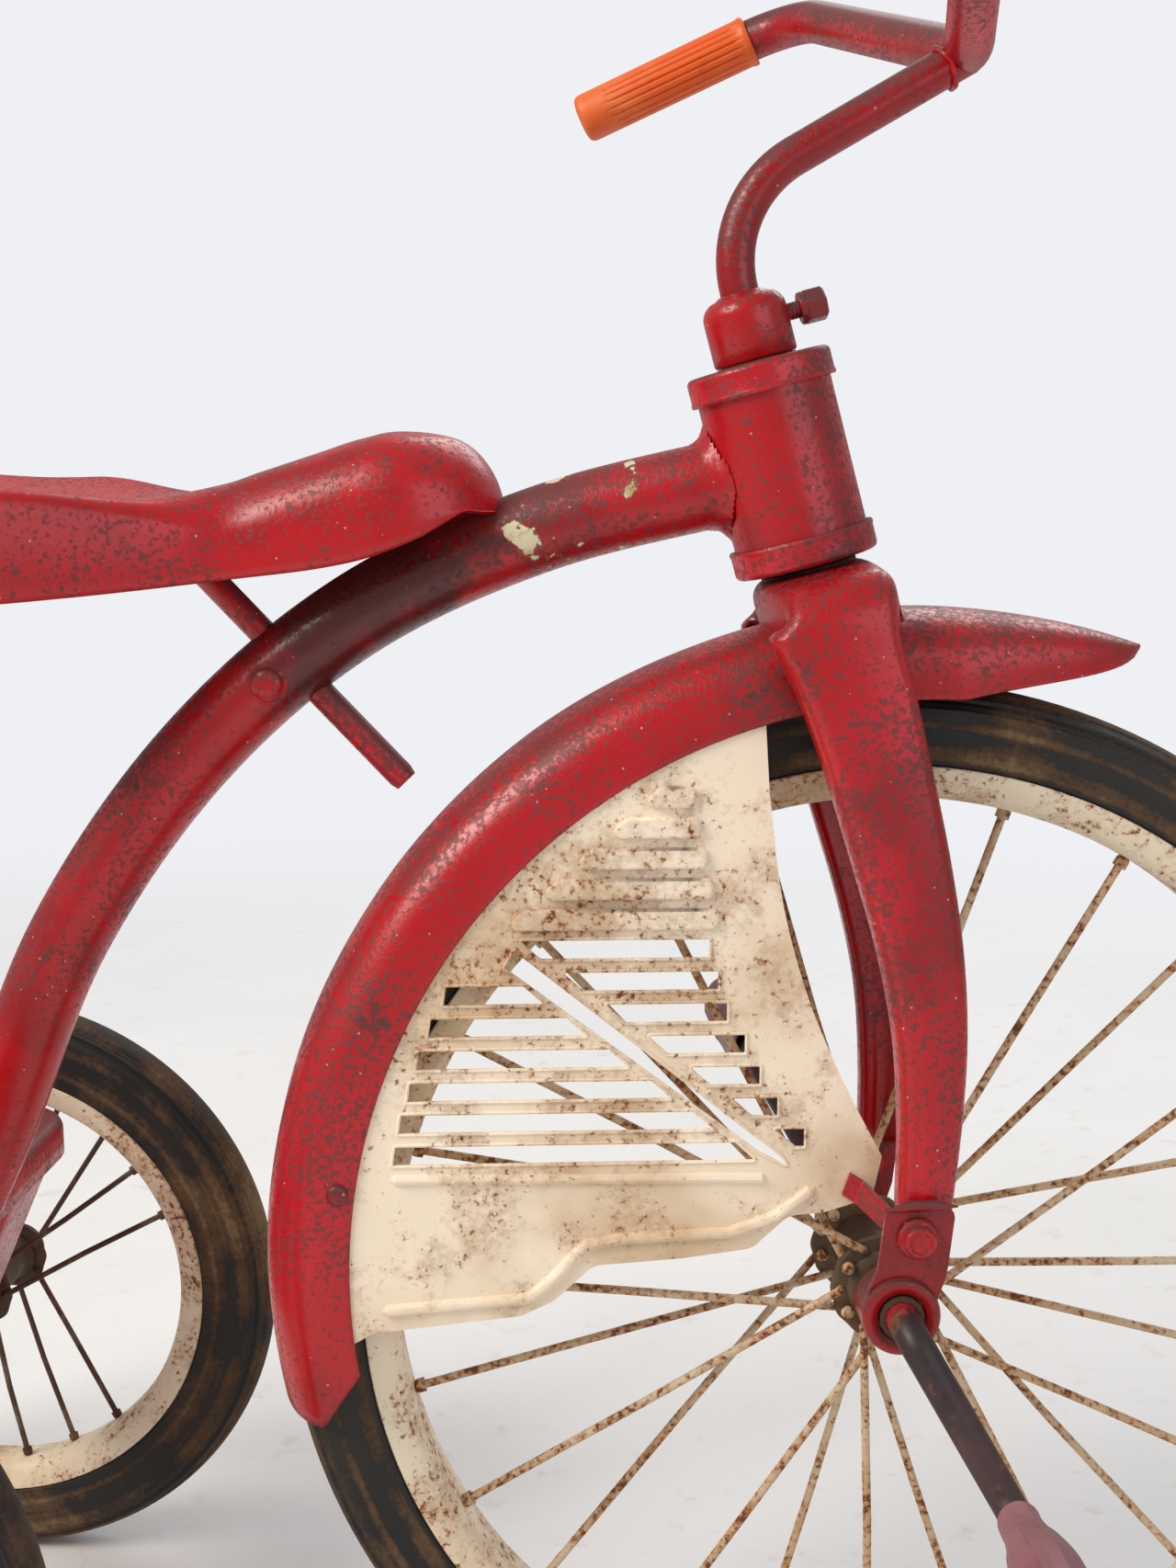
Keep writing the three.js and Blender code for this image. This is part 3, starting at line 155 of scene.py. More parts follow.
class Finish:
    """A material being built: its node tree, its shader, and the patterns that layers share."""

    def __init__(self, name, **shader):
        self.material = bpy.data.materials.new(name)
        self.material.use_nodes = True
        self.tree = self.material.node_tree
        self.shader = self.tree.nodes["Principled BSDF"]
        for key, value in shader.items():
            self.shader.inputs[key.replace("_", " ")].default_value = value
        self.where = add(self.tree, "ShaderNodeTexCoord").outputs["Object"]
        self.facing = add(self.tree, "ShaderNodeTexCoord").outputs["Normal"]

    def grain(self, size_mm, detail=4, rough=0.55, stretch=None, seed=0.0):
        """Noise whose blotches are about size_mm across."""
        move = {"Vector": self.where, "Location": (seed, seed * 0.7, seed * 0.3)}
        move["Scale"] = stretch or (1, 1, 1)
        vector = add(self.tree, "ShaderNodeMapping", move).outputs["Vector"]
        knobs = {"Vector": vector, "Scale": NOISE_PER_MM / size_mm, "Detail": detail, "Roughness": rough}
        return add(self.tree, "ShaderNodeTexNoise", knobs).outputs["Fac"]

    def pits(self, size_mm, radius=0.2, seed=0.0):
        """Round specks, one at most in each cell of size_mm: 1 inside a speck, 0 outside."""
        move = {"Vector": self.where, "Location": (seed, seed, seed)}
        vector = add(self.tree, "ShaderNodeMapping", move).outputs["Vector"]
        knobs = {"Vector": vector, "Scale": CELLS_PER_MM / size_mm}
        far = add(self.tree, "ShaderNodeTexVoronoi", knobs).outputs["Distance"]
        return self.step(far, radius, radius * 0.5)

    def step(self, value, start, end, low=0.0, high=1.0):
        """Runs value from low to high as it crosses from start to end, smoothly."""
        knobs = {"Value": value, "From Min": start, "From Max": end, "To Min": low, "To Max": high}
        return add(self.tree, "ShaderNodeMapRange", knobs,
            interpolation_type="SMOOTHSTEP").outputs["Result"]

    def maths(self, operation, a, b=0.0, c=0.0):
        made = add(self.tree, "ShaderNodeMath", operation=operation)
        for socket, value in zip(made.inputs, (a, b, c)):
            if isinstance(value, bpy.types.NodeSocket):
                self.tree.links.new(value, socket)
            else:
                socket.default_value = value
        return made.outputs[0]

    def over(self, below, above, mask):
        """Colour `above` laid over `below` where mask is 1."""
        mixer = add(self.tree, "ShaderNodeMix", data_type="RGBA")
        for socket, value in ((0, mask), (6, below), (7, above)):
            if isinstance(value, bpy.types.NodeSocket):
                self.tree.links.new(value, mixer.inputs[socket])
            else:
                mixer.inputs[socket].default_value = linear(value) if isinstance(value, str) else value
        return mixer.outputs[2]

    def upward(self):
        """0 on faces that look down, 1 on faces that look up."""
        z = add(self.tree, "ShaderNodeSeparateXYZ", {"Vector": self.facing}).outputs["Z"]
        return self.step(z, -0.2, 1.0)

    def near(self, at, reach, core):
        """1 within core of a point, falling to 0 at reach, in metres."""
        knobs = {0: self.where, 1: at}
        far = add(self.tree, "ShaderNodeVectorMath", knobs, operation="DISTANCE").outputs["Value"]
        return self.step(far, reach, core)

    def done(self, colour, roughness, height=None, depth_mm=0.2, strength=0.6, metallic=None):
        """Links the finished layers to the shader."""
        self.tree.links.new(colour, self.shader.inputs["Base Color"])
        self.tree.links.new(roughness, self.shader.inputs["Roughness"])
        if metallic is not None:
            self.tree.links.new(metallic, self.shader.inputs["Metallic"])
        if height is not None:
            knobs = {"Height": height, "Distance": depth_mm * MM, "Strength": strength}
            bump = add(self.tree, "ShaderNodeBump", knobs).outputs["Normal"]
            self.tree.links.new(bump, self.shader.inputs["Normal"])
        return self.material


# ---- finishes -----------------------------------------------------------------------------
# Stoving enamel on pressed steel: sprayed and baked red gloss, now faded in patches under a
# film of brown dust that lies on whatever looks up, with fine brown specks everywhere.
def red_enamel(name, dust=0.5, fresh="#b2000b", seed=0.0, chips_at=None, darken_at=None):
    f = Finish(name, IOR=1.5, Coat_Weight=0.15, Coat_Roughness=0.22)
    broad = f.grain(60, 3, seed=seed)
    patch = f.grain(17, 6, 0.62, seed=seed + 3)
    grit = f.grain(0.9, 4, 0.6, seed=seed + 5)
    colour = f.over(fresh, "#c4021e", f.step(broad, 0.45, 0.70))
    colour = f.over(colour, "#7a0209", f.step(f.grain(30, 5, seed=seed + 9), 0.52, 0.68, 0, 0.6))
    lie = f.maths("MULTIPLY_ADD", f.upward(), 0.28 * dust, f.maths("MULTIPLY", broad, 0.45))
    lie = f.maths("MULTIPLY_ADD", patch, 0.6, lie)
    veil = f.step(lie, 0.60, 0.92, 0, 0.45)
    colour = f.over(colour, "#64342e", veil)
    speck = f.step(f.maths("MULTIPLY_ADD", lie, 0.75, grit), 0.92, 1.03, 0, 0.72)
    colour = f.over(colour, "#4e2d2a", speck)
    worn = f.step(f.maths("MULTIPLY_ADD", f.grain(4, 5, 0.65, seed=seed + 2), 0.6, patch), 0.98, 1.03,
        0, 0.75)
    colour = f.over(colour, "#4a2a26", worn)
    scratch = f.pits(7, 0.07, seed + 1)
    colour = f.over(colour, "#d8a398", f.maths("MULTIPLY", scratch, 0.8))
    # Darkens the enamel to near brown-black round a point, here on the backbone just under the saddle.
    if darken_at is not None:
        darkening = f.maths("MULTIPLY_ADD", f.near(darken_at, 0.075, 0.015), 0.42, patch)
        colour = f.over(colour, "#2c1613", f.step(darkening, 0.62, 0.86, 0, 0.85))
    height = f.maths("MULTIPLY_ADD", speck, 0.5, grit)
    if chips_at is not None:
        flaked = f.maths("MULTIPLY_ADD", f.near(chips_at, 0.046, 0.012), 0.20,
            f.grain(7.5, 4, 0.55, seed=2.3))
        colour = f.over(colour, "#7d4a33", f.step(flaked, 0.745, 0.775))
        bare = f.step(flaked, 0.775, 0.785)
        colour = f.over(colour, f.over("#d9cdaa", "#a98b5c", f.step(f.grain(3, 4), 0.45, 0.65)), bare)
        height = f.maths("SUBTRACT", height, bare)
    rough = f.maths("MULTIPLY_ADD", f.maths("MAXIMUM", veil, speck), 0.42, 0.30)
    return f.done(colour, rough, height, 0.14, 0.55)


# Cream stoving enamel: warmer and browner where water sat, broken by rust that starts as
# pinholes and joins into scabs.
def cream_enamel(name, rust=0.5, seed=0.0, fresh="#fae9cf", stain_at=None):
    f = Finish(name, IOR=1.5)
    broad = f.grain(45, 4, seed=seed)
    patch = f.grain(11, 6, 0.66, seed=seed + 4)
    grit = f.grain(1.2, 4, 0.6, seed=seed + 8)
    colour = f.over(fresh, "#cba87e", f.step(broad, 0.42, 0.66, 0, 0.9))
    darkening = f.maths("MULTIPLY_ADD", grit, 0.35, patch)
    if stain_at is not None:
        darkening = f.maths("MULTIPLY_ADD", f.near(stain_at, 0.105, 0.045), 0.085, darkening)
    colour = f.over(colour, "#a67c4e", f.step(darkening, 0.70 - 0.05 * rust, 0.90 - 0.05 * rust, 0, 0.45))
    spread = f.maths("MULTIPLY_ADD", patch, 0.55, f.grain(1.1, 5, 0.6, seed=seed + 6))
    if stain_at is not None:
        spread = f.maths("MULTIPLY_ADD", f.near(stain_at, 0.105, 0.045), 0.07, spread)
    halo = f.step(spread, 0.93 - 0.06 * rust, 1.03 - 0.06 * rust, 0, 0.8)
    scab = f.step(spread, 1.03 - 0.06 * rust, 1.09 - 0.06 * rust, 0, 0.9)
    pinholes = f.maths("MULTIPLY", f.pits(4.2, 0.12, seed), f.step(patch, 0.46, 0.60, 0, 0.8))
    colour = f.over(colour, "#a2612a", halo)
    colour = f.over(colour, "#5c3018", f.maths("MAXIMUM", scab, pinholes))
    rough = f.maths("MULTIPLY_ADD", halo, 0.30, 0.50)
    height = f.maths("MULTIPLY_ADD", scab, 0.8, f.maths("MULTIPLY", grit, 0.6))
    return f.done(colour, rough, height, 0.14, 0.6)


BANDS = 95  # the dust rings' Scale


# Moulded black rubber, dull with age, with brown road dust in rings round the hub. With `across`
# at 0 the rings take no account of Y, so both rear wheels share them.
def tyre_rubber(name, centre, across=1.0, seed=0.0):
    f = Finish(name, IOR=1.5)
    patch = f.grain(26, 6, 0.66, seed=seed)
    grit = f.grain(0.9, 4, seed=seed + 4)
    flat = add(f.tree, "ShaderNodeVectorMath", {0: f.where, 1: (1, across, 1)},
        operation="MULTIPLY").outputs[0]
    knobs = {0: flat, 1: (centre.x, centre.y * across, centre.z)}
    out = add(f.tree, "ShaderNodeVectorMath", knobs, operation="DISTANCE").outputs["Value"]
    knobs = {"W": out, "Scale": BANDS, "Detail": 3}
    band = add(f.tree, "ShaderNodeTexNoise", knobs, noise_dimensions="1D").outputs["Fac"]
    dusty = f.maths("MULTIPLY_ADD", band, 0.85, f.maths("MULTIPLY_ADD", grit, 0.25, patch))
    colour = f.over("#12100e", "#2a221c", f.step(f.grain(60, 3, seed=seed + 2), 0.4, 0.7))
    colour = f.over(colour, "#574029", f.step(dusty, 1.00, 1.18, 0, 0.95))
    colour = f.over(colour, "#8a7252", f.step(dusty, 1.16, 1.32, 0, 0.6))
    rough = f.step(dusty, 0.95, 1.2, 0.62, 0.95)
    return f.done(colour, rough, grit, 0.1, 0.5)


# Injection-moulded plastic, satin, with darker grime in patches.
def orange_plastic(name):
    f = Finish(name, IOR=1.46, Subsurface_Weight=0.08, Subsurface_Radius=(0.004, 0.001, 0.0005))
    smear = f.grain(16, 5, 0.6)
    colour = f.over("#e4611f", "#ee8a4c", f.step(smear, 0.45, 0.75, 0, 0.6))
    colour = f.over(colour, "#a4401a", f.step(f.grain(7, 6, 0.7, seed=4), 0.56, 0.72, 0, 0.6))
    return f.done(colour, f.step(smear, 0.3, 0.7, 0.32, 0.5), f.grain(2.5, 3), 0.03, 0.12)


# Moulded rubber pedal, once red, faded to mauve and polished by feet.
def pedal_rubber(name):
    f = Finish(name, IOR=1.5)
    smear = f.grain(18, 5, 0.6)
    colour = f.over("#84525a", "#966468", f.step(smear, 0.4, 0.7))
    colour = f.over(colour, "#6e4448", f.step(f.grain(9, 6, 0.7, seed=3), 0.54, 0.70, 0, 0.8))
    return f.done(colour, f.step(smear, 0.3, 0.7, 0.42, 0.65), f.grain(1.2, 3), 0.06, 0.4)


# Mild steel with the paint gone: brown oxide, darker in the pits, greyer where rubbed.
def rusty_steel(name, base="#4e3a2c", rubbed="#7a6a5c", seed=0.0):
    f = Finish(name, IOR=1.5)
    patch = f.grain(9, 6, 0.7, seed=seed)
    grit = f.grain(1.2, 4, seed=seed + 2)
    colour = f.over(base, rubbed, f.step(patch, 0.50, 0.72, 0, 0.8))
    colour = f.over(colour, "#6d3d1f", f.step(f.grain(6, 6, 0.7, seed=seed + 5), 0.52, 0.68, 0, 0.8))
    colour = f.over(colour, "#231812", f.step(f.maths("MULTIPLY_ADD", grit, 0.4, patch), 0.60, 0.50, 0,
        0.7))
    return f.done(colour, f.step(patch, 0.3, 0.7, 0.85, 0.5), f.maths("ADD", patch, grit), 0.25, 0.6,
                  f.step(patch, 0.5, 0.7, 0.15, 0.6))


# Crank rod: red enamel worn through to purple-brown steel by shoes.
def worn_crank(name):
    f = Finish(name, IOR=1.5)
    patch = f.grain(16, 6, 0.66, seed=1)
    grit = f.grain(1.2, 4)
    colour = f.over("#2f2022", "#4a3334", f.step(patch, 0.4, 0.7))
    hub = Vector(joints["front_wheel_spin"]["pos_m"])
    near = add(f.tree, "ShaderNodeVectorMath", {0: f.where, 1: hub},
        operation="DISTANCE").outputs["Value"]
    kept = f.maths("MULTIPLY_ADD", f.step(near, 0.066, 0.056), 0.24, patch)
    colour = f.over(colour, "#a31c2a", f.step(kept, 0.68, 0.72))
    colour = f.over(colour, "#7a4a2c", f.step(f.grain(8, 6, 0.7, seed=8), 0.56, 0.66, 0, 0.7))
    return f.done(colour, f.step(patch, 0.3, 0.7, 0.42, 0.62), f.maths("ADD", grit, patch), 0.1, 0.5)


chipped = STRAIGHT @ Vector((-104, -13, 458))
# A point on the backbone just under the saddle, where the enamel is darkened.
under_saddle = STRAIGHT @ Vector((-180, -12, 430))
slotted = STEERED @ Vector((-105, -SKIRT_Y, 300))
RED = red_enamel("stoved_red_enamel", 0.5)
RED_TOP = red_enamel("stoved_red_enamel_dusty", 1.1, seed=2.0)
RED_SEAT = red_enamel("stoved_red_enamel_saddle", 0.2, "#ba000c", seed=4.0)
RED_FORK = red_enamel("stoved_red_enamel_fork", 0.45, "#b0000c", seed=6.0)
RED_BAR = red_enamel("stoved_red_enamel_handlebar", 1.2, "#920209", seed=8.0)
RED_BONE = red_enamel("stoved_red_enamel_chipped", 0.7, seed=1.0, chips_at=chipped, darken_at=under_saddle)
RED_EYE = red_enamel("stoved_red_enamel_crank_eye", 2.4, "#920209", seed=7.0)
GRIMY = red_enamel("stoved_red_enamel_grimy", 2.2, "#7c1018", seed=3.0)
CREAM = cream_enamel("stoved_cream_enamel", 0.5, stain_at=slotted)
CREAM_RIM = cream_enamel("stoved_cream_enamel_rim", 1.9, seed=3.0, fresh="#ecdcc0")
CREAM_SPOKE = cream_enamel("stoved_cream_enamel_spoke", 3.0, seed=5.0, fresh="#cdb898")
FRONT_TYRE = tyre_rubber("worn_black_rubber", FRONT_HUB.to_translation())
REAR_TYRE = tyre_rubber("worn_black_rubber_rear", rear_hub(1).to_translation(), 0.0, 7.0)
DARK_WIRE = rusty_steel("rusted_spoke_wire", "#54392a", "#94806c", 5.0)
KHAKI = rusty_steel("dusty_hub_steel", "#5c4a38", "#8c7860", 9.0)
ORANGE = orange_plastic("moulded_orange_plastic")
PEDAL = pedal_rubber("moulded_pedal_rubber")
RUSTY = rusty_steel("rusted_mild_steel")
# Near-black steel for the crown race: painted shade for the dark gap between the head tube and the fork.
PAINTED_SHADE_STEEL = rusty_steel("rusted_steel_painted_shade", "#15100e", "#2a211c", 2.0)
CRANK = worn_crank("worn_crank_enamel")


# ---- meshes -------------------------------------------------------------------------------
def make(name, verts, faces, place, body, finish, replaces=(), crease=40, bevel=0.0, wall=0.0,
    subdivide=0):
    """Puts a mesh, written in a place's own millimetres, into the tricycle's frame."""
    mesh = bpy.data.meshes.new(name)
    mesh.from_pydata([tuple(place @ Vector(v)) for v in verts], [], faces)
    work = bmesh.new()
    work.from_mesh(mesh)
    bmesh.ops.remove_doubles(work, verts=work.verts, dist=1e-6)
    bmesh.ops.recalc_face_normals(work, faces=work.faces)
    work.to_mesh(mesh)
    work.free()
    mesh.shade_smooth()
    obj = bpy.data.objects.new(name, mesh)
    bpy.context.collection.objects.link(obj)
    if wall:
        shell = obj.modifiers.new("wall", "SOLIDIFY")
        shell.thickness = wall * MM
        shell.offset = -1
    if bevel:
        edge = obj.modifiers.new("edge", "BEVEL")
        edge.width = bevel * MM
        edge.segments = 3
        edge.limit_method = "ANGLE"
        edge.angle_limit = math.radians(35)
    if subdivide:
        smooth = obj.modifiers.new("smooth", "SUBSURF")
        smooth.levels = smooth.render_levels = subdivide
    else:
        mesh.set_sharp_from_angle(angle=math.radians(crease))
    mesh.materials.append(finish)
    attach(obj, body)
    if replaces:
        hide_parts(*replaces)


def grid_faces(rows, columns, wrap=False, offset=0):
    faces = []
    across = columns if wrap else columns - 1
    for i in range(rows - 1):
        for j in range(across):
            k = (j + 1) % columns
            faces.append((offset + i * columns + j, offset + i * columns + k,
                          offset + (i + 1) * columns + k, offset + (i + 1) * columns + j))
    return faces


def revolve(profile, sides=64, ripple=None, closed=False):
    """Turns a [radius, height] profile about Z. ripple(radius, height, angle) moves the radius."""
    rows = list(profile) + ([profile[0]] if closed else [])
    verts = []
    for r, h in rows:
        for j in range(sides):
            a = 2 * math.pi * j / sides
            rr = ripple(r, h, a) if ripple else r
            verts.append((rr * math.cos(a), rr * math.sin(a), h))
    return verts, grid_faces(len(rows), sides, wrap=True)


def rounded(points, radius, steps=4):
    """A 2D or 3D line of straight runs with its corners rounded."""
    pts = [np.array(p, float) for p in points]
    out = [pts[0]]
    for a, b, c in zip(pts, pts[1:], pts[2:]):
        into = (b - a) / np.linalg.norm(b - a)
        on = (c - b) / np.linalg.norm(c - b)
        turned = math.acos(max(-1.0, min(1.0, float(into @ on))))
        if turned < 0.02:
            out.append(b)
            continue
        back = min(radius * math.tan(turned / 2), 0.49 * np.linalg.norm(b - a),
            0.49 * np.linalg.norm(c - b))
        r = back / math.tan(turned / 2)
        side = on - into * float(on @ into)
        side /= np.linalg.norm(side)
        for k in range(steps + 1):
            t = turned * k / steps
            out.append(b - into * back + into * r * math.sin(t) + side * r * (1 - math.cos(t)))
    out.append(pts[-1])
    return out


def resample(points, step):
    """The same line with points about `step` apart, its corners kept."""
    out = [np.array(points[0], float)]
    for a, b in zip(points, points[1:]):
        a, b = np.array(a, float), np.array(b, float)
        n = max(1, int(np.linalg.norm(b - a) / step))
        out += [a + (b - a) * (k + 1) / n for k in range(n)]
    return out


def sweep(points, radius, sides=24, flat=1.0):
    """A round bar along a line. radius is a number or a function of distance along it."""
    pts = [Vector(p) for p in points]
    tangents = [(b - a).normalized() for a, b in zip(pts, pts[1:])]
    bends = [(a + b).normalized() for a, b in zip(tangents, tangents[1:])]
    along = [tangents[0]] + bends + [tangents[-1]]
    up = Vector((0, 0, 1)) if abs(along[0].z) < 0.9 else Vector((1, 0, 0))
    side = along[0].cross(up).normalized()
    verts, travelled = [], 0.0
    for i, (p, t) in enumerate(zip(pts, along)):
        if i:
            travelled += (p - pts[i - 1]).length
            side = (side - t * side.dot(t)).normalized()
        across = t.cross(side)
        r = radius(travelled) if callable(radius) else radius
        for j in range(sides):
            a = 2 * math.pi * j / sides
            verts.append(p + side * r * math.cos(a) + across * r * flat * math.sin(a))
    faces = grid_faces(len(pts), sides, wrap=True)
    faces.append(tuple(reversed(range(sides))))
    faces.append(tuple(range((len(pts) - 1) * sides, len(pts) * sides)))
    return verts, faces


def softened(radius, length, nose=1.2):
    """A bar's radius along its length, with rounded-over ends."""
    def at(s):
        d = min(s, length - s)
        return radius - nose * (1 - min(1.0, d / nose)) ** 2
    return at


def joined(*parts):
    """Several (verts, faces) pairs as one."""
    verts, faces = [], []
    for v, f in parts:
        faces += [tuple(i + len(verts) for i in face) for face in f]
        verts += list(v)
    return verts, faces


def moved(part, matrix):
    return [matrix @ Vector(v) for v in part[0]], part[1]


def mirrored(part):
    return [(v[0], -v[1], v[2]) for v in part[0]], part[1]


def smoothstep(x, a, b):
    t = max(0.0, min(1.0, (x - a) / (b - a)))
    return t * t * (3 - 2 * t)


def length_of(points):
    return float(sum(np.linalg.norm(np.array(b) - np.array(a)) for a, b in zip(points, points[1:])))


def plate(outline, thickness, holes=()):
    """A flat sheet with its outline in X and Z, from y = 0 to y = thickness."""
    curve = bpy.data.curves.new("outline", "CURVE")
    curve.dimensions = "2D"
    curve.fill_mode = "BOTH"
    for loop in (outline, *holes):
        spline = curve.splines.new("POLY")
        spline.points.add(len(loop) - 1)
        for point, (x, z) in zip(spline.points, loop):
            point.co = (x, z, 0, 1)
        spline.use_cyclic_u = True
    curve.extrude = thickness / 2
    holder = bpy.data.objects.new("outline", curve)
    bpy.context.collection.objects.link(holder)
    mesh = bpy.data.meshes.new_from_object(holder)
    verts = [(v.co.x, v.co.z + thickness / 2, v.co.y) for v in mesh.vertices]
    faces = [tuple(p.vertices) for p in mesh.polygons]
    bpy.data.objects.remove(holder)
    bpy.data.curves.remove(curve)
    bpy.data.meshes.remove(mesh)
    return verts, faces


def pressed(outline, depth, radius, steps=5, crown=0.0):
    """A pressed tray: `outline` (closed, anticlockwise, X and Z) with its rim turned back by
    `depth` along Y round a corner of `radius`, its face at y = 0."""
    pts = [np.array(p, float) for p in outline]
    n = len(pts)
    inward = []
    for i in range(n):
        t = pts[(i + 1) % n] - pts[i - 1]
        t /= np.linalg.norm(t)
        inward.append(np.array([-t[1], t[0]]))
    rings = [(0.0, depth), (0.0, (depth + radius) / 2)]
    for a in np.linspace(0, math.pi / 2, steps):
        rings.append((radius * (1 - math.cos(a)), radius * (1 - math.sin(a))))
    verts = []
    for inset, y in rings:
        for p, m in zip(pts, inward):
            verts.append((p[0] + m[0] * inset, y, p[1] + m[1] * inset))
    faces = grid_faces(len(rings), n, wrap=True)
    last = (len(rings) - 1) * n
    centre = np.mean(pts, axis=0)
    share = 0.82
    for p, m in zip(pts, inward):
        q = centre + (p + m * radius - centre) * share
        verts.append((q[0], -crown, q[1]))
    faces += grid_faces(2, n, wrap=True, offset=last)
    faces.append(tuple(range(last + n, last + 2 * n)))
    return verts, faces


def hexagonal(radius, low, high, turn_by=0.0):
    """A hexagon head or nut with its outer corners chamfered."""
    chamfer = 0.16 * radius
    profile = [(0.0, low), (radius, low), (radius, high - chamfer), (radius - chamfer * 1.2, high),
        (0.0, high)]
    return moved(revolve(profile, 6), Matrix.Rotation(turn_by, 4, "Z"))


def dome(radius, low, high, lip=0.8):
    """A round rivet or bolt head."""
    profile = [(0.0, low), (radius, low), (radius, low + lip)]
    for k in range(1, 9):
        a = math.pi / 2 * k / 8
        profile.append((radius * math.cos(a) ** 0.8 if k < 8 else 0.0,
            low + lip + (high - low - lip) * math.sin(a)))
    return revolve(profile, 32)


def threaded(radius, low, high, pitch=1.1):
    """A bolt shank with its thread as rings."""
    profile = [(0.0, low)]
    count = int((high - low) / pitch)
    for k in range(count):
        profile += [(radius - 0.35, low + k * pitch), (radius, low + (k + 0.5) * pitch)]
    profile += [(radius - 0.35, high), (0.0, high)]
    return revolve(profile, 20)


def through(points, per_span=12):
    """Points of a smooth line through chosen points, as a drawn tube takes between its bends."""
    p = [np.array(q, float) for q in points]
    p = [2 * p[0] - p[1]] + p + [2 * p[-1] - p[-2]]
    out = []
    for a, b, c, d in zip(p, p[1:], p[2:], p[3:]):
        t0, t1 = 0.0, np.linalg.norm(b - a) ** 0.5
        t2 = t1 + np.linalg.norm(c - b) ** 0.5
        t3 = t2 + np.linalg.norm(d - c) ** 0.5
        for k in range(per_span):
            t = t1 + (t2 - t1) * k / per_span
            ab = (t1 - t) / (t1 - t0) * a + (t - t0) / (t1 - t0) * b
            bc = (t2 - t) / (t2 - t1) * b + (t - t1) / (t2 - t1) * c
            cd = (t3 - t) / (t3 - t2) * c + (t - t2) / (t3 - t2) * d
            abc = (t2 - t) / (t2 - t0) * ab + (t - t0) / (t2 - t0) * bc
            bcd = (t3 - t) / (t3 - t1) * bc + (t - t1) / (t3 - t1) * cd
            out.append((t2 - t) / (t2 - t1) * abc + (t - t1) / (t2 - t1) * bcd)
    out.append(p[-2])
    return out


# ---- head and backbone --------------------------------------------------------------------
FILLET_REACH = 8
FILLET_STEP = 0.6
FILLET_ROWS = 70  # rows of the backbone that are close enough to the head to carry the fillet
FILLET_LAP = 0.7  # how far the fillet runs in under the head tube's skin


def fillet(start, along, direction, reach):
    """Radius of the backbone at one point of its skin, where it runs out into the head tube
    on a lumpy brazed fillet of radius `reach`."""
    lean = np.array([-math.sin(math.radians(HEAD_ANGLE)), 0, math.cos(math.radians(HEAD_ANGLE))])
    foot = np.array([HEAD_OFFSET, 0, FRONT_R])

    def outside(r):
        p = start + direction * r - foot
        return np.linalg.norm(p - lean * float(p @ lean)) - HEAD_TUBE_R + FILLET_LAP

    best = BACKBONE_R
    lump = 1 + 0.5 * noise.noise(Vector(start + direction * 14) * 0.16)
    lumps = reach * (1 - 0.5 * direction[1] ** 2) * lump
    for k in range(25):
        r = BACKBONE_R + lumps * k / 24
        d = outside(r)
        if d < 0:
            break
        if d < lumps and r - BACKBONE_R <= lumps - math.sqrt(max(0, lumps ** 2 - (lumps - d) ** 2)):
            best = r
    return best


